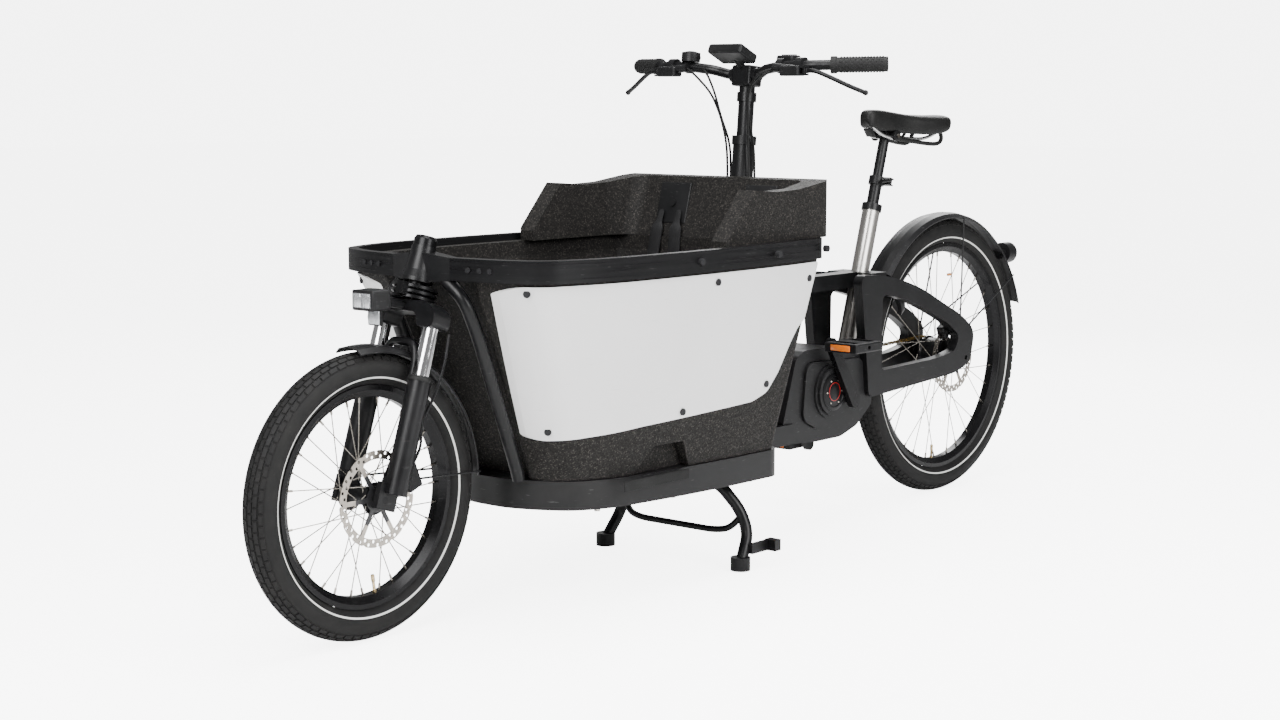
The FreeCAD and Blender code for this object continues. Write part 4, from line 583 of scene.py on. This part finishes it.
def chain_path():
    """Closed curve through the middle of the chain."""
    big_reach, small_reach = 0.072 + 0.0048, 0.038 + 0.0048
    between = small - big
    heading = math.atan2(between.z, between.x)
    lean = math.acos((big_reach - small_reach) / between.length)
    points = []
    for index in range(25):
        angle = heading + lean + (2 * math.pi - 2 * lean) * index / 24
        points.append(big + big_reach * Vector((math.cos(angle), 0, math.sin(angle))))
    for index in range(25):
        angle = heading - lean + 2 * lean * index / 24
        points.append(small + small_reach * Vector((math.cos(angle), 0, math.sin(angle))))
    data = bpy.data.curves.new("chain_path", "CURVE")
    data.dimensions = "3D"
    line = data.splines.new("POLY")
    line.points.add(len(points) - 1)
    for spot, place in zip(line.points, points):
        spot.co = (*place, 1)
    line.use_cyclic_u = True
    path = bpy.data.objects.new("chain_path", data)
    bpy.context.scene.collection.objects.link(path)
    return path


def link_mesh():
    """One link along X: two waisted plates and two pins."""
    shape = bmesh.new()
    for side in (1, -1):
        outline = []
        for end in (1, -1):
            for index in range(7):
                angle = math.radians(-90 + 30 * index) + (0 if end > 0 else math.pi)
                outline.append((end * 0.0064 + 0.0039 * math.cos(angle), 0.0039 * math.sin(angle)))
            outline.append((0.0, 0.0029 * end))
        rings = [[shape.verts.new((x, side * y, z)) for x, z in outline] for y in (0.0026, 0.0035)]
        count = len(outline)
        for index in range(count):
            shape.faces.new([rings[0][index - 1], rings[0][index], rings[1][index], rings[1][index - 1]])
        shape.faces.new(rings[0])
        shape.faces.new(rings[1])
    for x in (-0.0064, 0.0064):
        lathe(shape, [(0.0, -0.0037), (0.0021, -0.0037), (0.0021, 0.0037), (0.0, 0.0037)], (x, 0, 0),
              (0, 1, 0), 8)
    bmesh.ops.recalc_face_normals(shape, faces=shape.faces)
    data = bpy.data.meshes.new("chain_link")
    shape.to_mesh(data)
    shape.free()
    link = bpy.data.objects.new("chain_link", data)
    bpy.context.scene.collection.objects.link(link)
    return link


along = bpy.data.node_groups.new("links_along_path", "GeometryNodeTree")
for label, kind in (("Path", "Geometry"), ("Link", "Object"), ("Count", "Int"), ("Finish", "Material")):
    along.interface.new_socket(name=label, in_out="INPUT", socket_type="NodeSocket" + kind)
along.interface.new_socket(name="Chain", in_out="OUTPUT", socket_type="NodeSocketGeometry")
given = along.nodes.new("NodeGroupInput").outputs
spots = put(along, "GeometryNodeCurveToPoints", {"Curve": given["Path"], "Count": given["Count"]})
facing = put(along, "FunctionNodeAlignRotationToVector", {"Vector": spots.outputs["Tangent"]}, axis="X",
             pivot_axis="Y")
every = put(along, "ShaderNodeMath", {0: put(along, "GeometryNodeInputIndex").outputs[0], 1: 2.0},
            operation="MODULO")
width = put(along, "ShaderNodeMapRange", {"Value": every.outputs[0], "To Min": 1.0, "To Max": 0.72})
size = put(along, "ShaderNodeCombineXYZ", {"X": 1.0, "Y": width.outputs["Result"], "Z": 1.0})
shape_in = put(along, "GeometryNodeObjectInfo", {"Object": given["Link"]})
placed = put(along, "GeometryNodeInstanceOnPoints", {"Points": spots.outputs["Points"],
                                                     "Instance": shape_in.outputs["Geometry"],
                                                     "Rotation": facing.outputs[0], "Scale": size.outputs[0]})
solid = put(along, "GeometryNodeRealizeInstances", {"Geometry": placed.outputs[0]})
gilded = put(along, "GeometryNodeSetMaterial", {"Geometry": solid.outputs[0], "Material": given["Finish"]})
along.links.new(gilded.outputs[0], along.nodes.new("NodeGroupOutput").inputs[0])
link = link_mesh()
chain = grown("chain_links", chain_path(), along, {"Link": link, "Count": 108, "Finish": chain_gold},
              chain_gold,
              "frame")
bpy.data.objects.remove(link)
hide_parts("chain")


def add_tooth(shape, root, tip, half, thickness):
    """One chain tooth pointing along X."""
    rings = [[shape.verts.new((reach, y, z)) for reach,
              z in ((root, -half), (tip, -half * 0.35), (tip, half * 0.35),
                                                             (root, half))] for y in (-thickness, thickness)]
    for index in range(4):
        shape.faces.new([rings[0][index - 1], rings[0][index], rings[1][index], rings[1][index - 1]])
    shape.faces.new(rings[0])
    shape.faces.new(rings[1])


for name, centre, reach, count, body in (("chainring_teeth", big, 0.0716, 38, "cranks"),
                                         ("sprocket_teeth", small, 0.0376, 20, "rear_wheel")):
    shape = bmesh.new()
    add_tooth(shape, reach - 0.002, reach + 0.0046, 0.0034, 0.0011)
    ring_of(name, shape, count, centre, hub_black, body)


# ---------------------------------------------------------------- pedal reflectors
# Each pedal carries a ribbed orange reflector in its front and its back edge.
amber = finish("amber_reflector", (0.85, 0.2, 0.015), (0.7, 0.13, 0.01), 0.14, cloud=(120.0, 0.4),
               stretch=(1, 1, 1),
               texture=(420.0, 0.0006), marks=(100.0, 0.0), coat=0.6)
for side, node_name, body in (("left", "pedal_left", "left_pedal"), ("right", "pedal_right", "right_pedal")):
    low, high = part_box(node_name)
    middle = (low + high) / 2
    for end, x in (("front", high.x), ("back", low.x)):
        shape = bmesh.new()
        add_slab(shape, (x, middle.y, middle.z), (0.0036, 0.052, 0.0135), edge=0.0012)
        mesh_piece(f"pedal_reflector_{side}_{end}", shape, amber, body)


# ---------------------------------------------------------------- lamps
# The front lamp has a lens in a black frame over a ribbed mirror, with a clear ribbed reflector hung
# below it; the rear lamp is a round red lens in a black rim.
mirror_bowl = finish("lamp_mirror", (0.8, 0.8, 0.8), (0.6, 0.6, 0.62), 0.12, metal=1.0, stretch=(1, 1, 0.2),
                     texture=(260.0, 0.0012), marks=(60.0, 0.0))


def lens_glass(name, tint, rough=0.04):
    material = bpy.data.materials.new(name)
    material.use_nodes = True
    tree = material.node_tree
    surface = tree.nodes["Principled BSDF"]
    place = put(tree, "ShaderNodeTexCoord").outputs["Object"]
    ribs = put(tree, "ShaderNodeTexWave", {"Vector": place, "Scale": 60.0}, bands_direction="Y")
    bump = put(tree, "ShaderNodeBump", {"Height": ribs.outputs["Fac"], "Distance": 0.0004, "Strength": 0.4})
    smear = put(tree, "ShaderNodeTexNoise", {"Vector": place, "Scale": 90.0})
    gloss = put(tree, "ShaderNodeMapRange",
                {"Value": smear.outputs["Fac"], "To Min": rough, "To Max": rough + 0.1})
    surface.inputs["Base Color"].default_value = (*tint, 1)
    surface.inputs["Transmission Weight"].default_value = 0.85
    surface.inputs["IOR"].default_value = 1.49
    tree.links.new(gloss.outputs["Result"], surface.inputs["Roughness"])
    tree.links.new(bump.outputs["Normal"], surface.inputs["Normal"])
    return material


low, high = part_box("headlight")
nose = Vector((high.x, 0, 0.626))
shape = bmesh.new()
add_slab(shape, nose - Vector((0.001, 0, 0)), (0.006, 0.056, 0.038), edge=0.003)
mesh_piece("lamp_frame", shape, moulded, "fork")
shape = bmesh.new()
for side in (1, -1):
    add_slab(shape, nose + Vector((0.0022, 0.011 * side, 0)), (0.0016, 0.02, 0.024), edge=0.0007)
mesh_piece("lamp_mirrors", shape, mirror_bowl, "fork")
shape = bmesh.new()
add_slab(shape, nose + Vector((0.0026, 0, 0)), (0.0036, 0.046, 0.027), edge=0.0016, steps=3)
mesh_piece("lamp_lens", shape, lens_glass("lamp_lens_glass", (0.95, 0.97, 1.0)), "fork")
shape = bmesh.new()
add_slab(shape, (0.9812, 0, 0.594), (0.0026, 0.03, 0.027), edge=0.0011)
mesh_piece("front_reflector", shape,
           finish("clear_reflector", (0.62, 0.64, 0.66), (0.4, 0.42, 0.44), 0.1, metal=0.6,
                                            cloud=(300.0, 0.7), texture=(330.0, 0.0009), coat=0.7),
           "fork")
red_lens = finish("red_lens", (0.4, 0.008, 0.008), (0.2, 0.004, 0.004), 0.12, cloud=(260.0, 0.8),
                  texture=(300.0, 0.001), marks=(60.0, 0.0), coat=0.7)
shape = bmesh.new()
lathe(shape, [(0.0, 0.0), (0.0232, 0.0), (0.0232, 0.001), (0.0205, 0.0034), (0.012, 0.0052), (0.0, 0.0058)],
      (-1.2578, 0, 0.582), (-1, 0, 0), 40)
mesh_piece("tail_lens", shape, red_lens, "frame")


# ---------------------------------------------------------------- display screen and bell
# The display under the hood is a dark glass plate, slightly proud of its case; the bell has a
# domed black steel cap.
tilt = Quaternion((0, 1, 0), math.radians(-24))
screen = finish("display_glass", (0.008, 0.009, 0.01), (0.014, 0.016, 0.018), 0.09, marks=(60.0, 0.1),
                texture=(2500.0, 0.000008), coat=0.8)
shape = bmesh.new()
add_slab(shape, Vector((-0.076, 0, 1.084)) + tilt @ Vector((-0.004, 0, 0.0112)), (0.046, 0.076, 0.0016), tilt,
         edge=0.0007)
mesh_piece("display_screen", shape, screen, "bars")
shape = bmesh.new()
lathe(shape,
      [(0.0212, 0.0), (0.0216, 0.004), (0.0195, 0.011), (0.014, 0.0155), (0.006, 0.0172), (0.0, 0.0175)],
      (-0.0938, -0.130, 1.0745), (-0.1, 0, 1), 36)
mesh_piece("bell_cap", shape, hub_black, "bars")


# ---------------------------------------------------------------- grip ribs
# The rubber grips have raised pads in rows round them, between a smooth collar at each end.
for side, node_name, body in ((1, "grip_left", "bars"), (-1, "grip_right", "twist_grip")):
    inner = Vector((-0.092, 0.196 * side, 1.058))
    outer = Vector((-0.167, 0.340 * side, 1.060))
    way = (outer - inner).normalized()
    turn = Vector((0, 0, 1)).rotation_difference(way)
    shape = bmesh.new()
    for row in range(15):
        for column in range(10):
            angle = 2 * math.pi * (column + 0.5 * (row % 2)) / 10
            spot = outer - way * (0.006 + row * 0.0063)
            out = turn @ Vector((math.cos(angle), math.sin(angle), 0))
            along_skin = way.cross(out)
            corners = [(-0.0022, -0.0036), (0.0022, -0.0036), (0.0022, 0.0036), (-0.0022, 0.0036)]
            base = [shape.verts.new(spot + out * 0.0152 + way * a + along_skin * b) for a, b in corners]
            top = [shape.verts.new(spot + out * 0.0172 + way * a * 0.7 + along_skin * b * 0.75) for a,
                   b in corners]
            for index in range(4):
                shape.faces.new([base[index - 1], base[index], top[index], top[index - 1]])
            shape.faces.new(top)
            shape.faces.new(list(reversed(base)))
    mesh_piece("grip_pads_left" if side > 0 else "grip_pads_right", shape, soft_black, body)


# ---------------------------------------------------------------- saddle
# A wide comfort saddle: foam under a black leather-like cover, narrow at the nose and broad at
# the back, with a shallow channel and steel rails below.
def leather_surface():
    material = finish("saddle_leather", (0.004, 0.004, 0.004), (0.008, 0.0078, 0.0075), 0.46,
                      cloud=(24.0, 0.6),
                      marks=(50.0, 0.12))
    tree = material.node_tree
    place = put(tree, "ShaderNodeTexCoord").outputs["Object"]
    cells = put(tree, "ShaderNodeTexVoronoi", {"Vector": place, "Scale": 620.0}, feature="SMOOTH_F1")
    bump = put(tree, "ShaderNodeBump",
               {"Height": cells.outputs["Distance"], "Distance": 0.0005, "Strength": 0.5})
    tree.links.new(bump.outputs["Normal"], tree.nodes["Principled BSDF"].inputs["Normal"])
    return material


saddle_leather = leather_surface()


def ring_strip(shape, rings, caps=True):
    """Skin a list of closed rings of places."""
    made = [[shape.verts.new(place) for place in ring] for ring in rings]
    count = len(rings[0])
    for lower, upper in zip(made, made[1:]):
        for index in range(count):
            shape.faces.new([lower[index - 1], lower[index], upper[index], upper[index - 1]])
    if caps:
        shape.faces.new(made[0])
        shape.faces.new(list(reversed(made[-1])))


def subdivided(piece, levels=2):
    """Smooth a piece and keep the result as its mesh."""
    modifier = piece.modifiers.new("smooth", "SUBSURF")
    modifier.levels = levels
    modifier.render_levels = levels
    bpy.context.view_layer.update()
    data = bpy.data.meshes.new_from_object(piece.evaluated_get(bpy.context.evaluated_depsgraph_get()))
    piece.modifiers.remove(modifier)
    old = piece.data
    piece.data = data
    bpy.data.meshes.remove(old)


shape = bmesh.new()
rings = []
for x, half, low_z, side_z, top_z in ((-0.5845, 0.007, 0.930, 0.938, 0.946),
                                      (-0.589, 0.018, 0.921, 0.940, 0.956),
                                      (-0.606, 0.0245, 0.914, 0.941, 0.9615),
                                      (-0.650, 0.029, 0.908, 0.938, 0.9585),
                                      (-0.700, 0.041, 0.902, 0.931, 0.951),
                                      (-0.745, 0.062, 0.898, 0.926, 0.9465),
                                      (-0.790, 0.081, 0.897, 0.925, 0.9465),
                                      (-0.828, 0.088, 0.902, 0.929, 0.9475),
                                      (-0.848, 0.079, 0.909, 0.931, 0.9455),
                                      (-0.8575, 0.056, 0.918, 0.931, 0.940)):
    dip = 0.0045 if -0.83 < x < -0.62 else 0.0
    half_ring = [(0.0, top_z - dip), (half * 0.3, top_z - dip * 0.3), (half * 0.68, top_z - 0.001),
                 (half * 0.93, (top_z + side_z) / 2 + 0.002), (half, side_z), (half * 0.96, low_z + 0.003),
                 (half * 0.8, low_z), (half * 0.35, low_z + 0.003)]
    rings.append([Vector((x, y, z)) for y, z in half_ring] + [Vector((x, 0, low_z + 0.003))]
                 + [Vector((x, -y, z)) for y, z in reversed(half_ring[1:])])
ring_strip(shape, rings)
saddle = mesh_piece("saddle_cushion", shape, saddle_leather, "seat", smooth=80)
subdivided(saddle)
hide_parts("saddle")
rail_silver = finish("rail_silver", (0.6, 0.6, 0.6), (0.45, 0.45, 0.44), 0.25, metal=1.0,
                     texture=(1500.0, 0.00003))


def round_bar(name, places, radius, material, body):
    """A bent round bar on a smooth line through its corner points, kept as a mesh."""
    data = bpy.data.curves.new(name, "CURVE")
    data.dimensions = "3D"
    data.bevel_depth = radius
    data.bevel_resolution = 4
    data.use_fill_caps = True
    line = data.splines.new("NURBS")
    line.points.add(len(places) - 1)
    for spot, place in zip(line.points, places):
        spot.co = (*place, 1)
    line.order_u = 3
    line.use_endpoint_u = True
    line.resolution_u = 12
    source = bpy.data.objects.new(name, data)
    bpy.context.scene.collection.objects.link(source)
    bpy.context.view_layer.update()
    mesh = bpy.data.meshes.new_from_object(source.evaluated_get(bpy.context.evaluated_depsgraph_get()))
    bpy.data.objects.remove(source)
    mesh.materials.clear()
    mesh.materials.append(material)
    for face in mesh.polygons:
        face.use_smooth = True
    piece = bpy.data.objects.new(name, mesh)
    bpy.context.scene.collection.objects.link(piece)
    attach(piece, body)
    return piece


for side in (1, -1):
    round_bar("saddle_rail_left" if side > 0 else "saddle_rail_right",
              [(-0.606, 0.008 * side, 0.920), (-0.628, 0.018 * side, 0.900), (-0.660, 0.022 * side, 0.893),
               (-0.745, 0.024 * side, 0.889), (-0.800, 0.034 * side, 0.887), (-0.826, 0.044 * side, 0.902)],
              0.0042, rail_silver, "seat")
round_bar("saddle_rear_loop", [(-0.690, 0.022, 0.890), (-0.800, 0.040, 0.874), (-0.852, 0.046, 0.876),
                               (-0.856, 0.040, 0.908), (-0.856, 0.0, 0.914), (-0.856, -0.040, 0.908),
                               (-0.852, -0.046, 0.876), (-0.800, -0.040, 0.874), (-0.690, -0.022, 0.890)],
          0.0052, soft_black, "seat")
shape = bmesh.new()
for side in (1, -1):
    lathe(shape,
          [(0.0, 0.0), (0.0125, 0.0), (0.0135, 0.002), (0.0135, 0.008), (0.011, 0.0095), (0.0, 0.0095)],
          (-0.676, 0.026 * side, 0.897), (0, side, 0), 20)
mesh_piece("saddle_clamp_washers", shape, hub_black, "seat")
shape = bmesh.new()
for side in (1, -1):
    lathe(shape,
          [(0.0, 0.0), (0.0052, 0.0), (0.0052, 0.003), (0.0026, 0.003), (0.0026, 0.0012), (0.0, 0.0012)],
          (-0.676, 0.0354 * side, 0.897), (0, side, 0), 12)
mesh_piece("saddle_clamp_bolts", shape, spoke_steel, "seat")
lean = Quaternion((0, 1, 0), math.radians(38))
shape = bmesh.new()
add_slab(shape, (-0.607, 0, 0.905), (0.004, 0.026, 0.024), lean, edge=0.0016)
mesh_piece("saddle_nose_tag", shape, moulded, "seat")


# ---------------------------------------------------------------- shoulder pads
# Two seats share the back rest; each has a pair of quilted shoulder pads that hang from the
# plate on narrow webbing and are padded with foam.
def webbing_surface():
    material = finish("black_webbing", (0.006, 0.006, 0.0065), (0.015, 0.015, 0.016), 0.72, cloud=(40.0, 0.6),
                      marks=(80.0, 0.0))
    tree = material.node_tree
    place = put(tree, "ShaderNodeTexCoord").outputs["Object"]
    over = put(tree, "ShaderNodeTexWave", {"Vector": place, "Scale": 190.0}, bands_direction="Z")
    across = put(tree, "ShaderNodeTexWave", {"Vector": place, "Scale": 190.0}, bands_direction="Y")
    woven = put(tree, "ShaderNodeMath", {0: over.outputs["Fac"], 1: across.outputs["Fac"]},
                operation="MULTIPLY")
    bump = put(tree, "ShaderNodeBump", {"Height": woven.outputs[0], "Distance": 0.0006, "Strength": 0.7})
    tree.links.new(bump.outputs["Normal"], tree.nodes["Principled BSDF"].inputs["Normal"])
    return material


webbing = webbing_surface()


def along_route(route, share):
    """Place and direction part of the way along a list of points."""
    lengths = [(b - a).length for a, b in zip(route, route[1:])]
    wanted = share * sum(lengths)
    for start, end, length in zip(route, route[1:], lengths):
        if wanted <= length or end is route[-1]:
            return start.lerp(end, min(1, wanted / length)), (end - start).normalized()
        wanted -= length


for seat_side in (1, -1):
    for offset in (-0.024, 0.024):
        y = 0.118 * seat_side
        route = [Vector((-0.009, y + offset, 0.744)), Vector((0.008, y + offset * 1.1, 0.700)),
                 Vector((0.018, y + offset * 1.25, 0.640)), Vector((0.026, y + offset * 1.3, 0.560)),
                 Vector((0.034, y + offset * 1.3, 0.500))]
        shape = bmesh.new()
        rings = []
        for step in range(25):
            share = step / 24
            middle, way = along_route(route, share)
            out = Vector((0, 1, 0)).cross(way) * -1
            end_pull = min(1.0, 0.25 + 6 * min(share, 1 - share))
            webbed = share < 0.16
            half = (0.009 if webbed else 0.0168) * (0.75 + 0.25 * end_pull)
            thick = (0.0018 if webbed else 0.0062) * end_pull
            quilt = 0.72 if step in (9, 14, 19) else 1.0
            ring = []
            for index in range(12):
                angle = 2 * math.pi * index / 12
                flat = math.copysign(abs(math.cos(angle)) ** 0.7, math.cos(angle))
                ring.append(middle + Vector((0, 1, 0)) * half * flat + out * thick * quilt * math.sin(angle))
            rings.append(ring)
        ring_strip(shape, rings)
        label = ("left" if seat_side > 0 else "right") + ("_inner" if offset * seat_side < 0 else "_outer")
        pad = mesh_piece("shoulder_pad_" + label, shape, webbing, "frame", smooth=80)
        subdivided(pad)
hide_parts("shoulder_pads")


# ---------------------------------------------------------------- floor, lights and camera
# A plain pale studio floor with large soft lights from above, in front and both sides.
def studio_surface():
    material = bpy.data.materials.new("studio_floor")
    material.use_nodes = True
    tree = material.node_tree
    place = put(tree, "ShaderNodeTexCoord").outputs["Object"]
    faint = put(tree, "ShaderNodeTexNoise", {"Vector": place, "Scale": 1.5})
    tone = put(tree, "ShaderNodeMapRange", {"Value": faint.outputs["Fac"], "To Min": 0.93, "To Max": 0.95})
    tree.links.new(tone.outputs["Result"], tree.nodes["Principled BSDF"].inputs["Base Color"])
    tree.nodes["Principled BSDF"].inputs["Roughness"].default_value = 0.75
    tree.nodes["Principled BSDF"].inputs["Specular IOR Level"].default_value = 0.0
    tree.nodes["Principled BSDF"].inputs["Emission Color"].default_value = (1, 1, 1, 1)
    seen = put(tree, "ShaderNodeLightPath").outputs["Is Camera Ray"]
    fill = put(tree, "ShaderNodeMapRange", {"Value": seen, "To Min": 0.0, "To Max": 5.6})
    tree.links.new(fill.outputs["Result"], tree.nodes["Principled BSDF"].inputs["Emission Strength"])
    return material


ground = bpy.data.meshes.new("studio_floor")
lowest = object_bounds()[0].z - 0.0002
ground.from_pydata([(-30, -30, lowest), (30, -30, lowest), (30, 30, lowest), (-30, 30, lowest)], [],
                   [(0, 1, 2, 3)])
ground.materials.append(studio_surface())
studio = bpy.data.objects.new("studio_floor", ground)
bpy.context.scene.collection.objects.link(studio)

world = bpy.data.worlds.new("studio")
bpy.context.scene.world = world
world.use_nodes = True
world.node_tree.nodes["Background"].inputs["Color"].default_value = (1, 1, 1, 1)
seen = put(world.node_tree, "ShaderNodeLightPath").outputs["Is Camera Ray"]
sky = put(world.node_tree, "ShaderNodeMapRange", {"Value": seen, "To Min": 0.3, "To Max": 6.0})
world.node_tree.links.new(sky.outputs["Result"], world.node_tree.nodes["Background"].inputs["Strength"])
for name, place, size, power in (("top_light", (0.2, 0.4, 3.6), 2.4, 170),
                                 ("front_light", (3.2, 0.6, 2.2), 2.0, 150),
                                 ("left_light", (0.4, 3.4, 2.0), 2.4, 170),
                                 ("back_light", (-3.0, -1.5, 2.4), 2.0, 80)):
    lamp = bpy.data.lights.new(name, "AREA")
    lamp.shape = "DISK"
    lamp.size = size
    lamp.energy = power
    light = bpy.data.objects.new(name, lamp)
    light.location = place
    light.rotation_euler = (Vector((0, 0, 0.5)) - Vector(place)).to_track_quat("-Z", "Y").to_euler()
    bpy.context.scene.collection.objects.link(light)

lens = bpy.data.cameras.new("view")
lens.sensor_width = 36.0
lens.lens = 58.73
lens.clip_end = 100
eye = bpy.data.objects.new("view", lens)
yaw, pitch = math.radians(40.597), math.radians(7.354)
sight = Vector((-math.cos(yaw) * math.cos(pitch), -math.sin(yaw) * math.cos(pitch), -math.sin(pitch)))
eye.location = (3.5463, 2.8395, 1.0046)
eye.rotation_euler = sight.to_track_quat("-Z", "Y").to_euler()
bpy.context.scene.collection.objects.link(eye)
bpy.context.scene.camera = eye
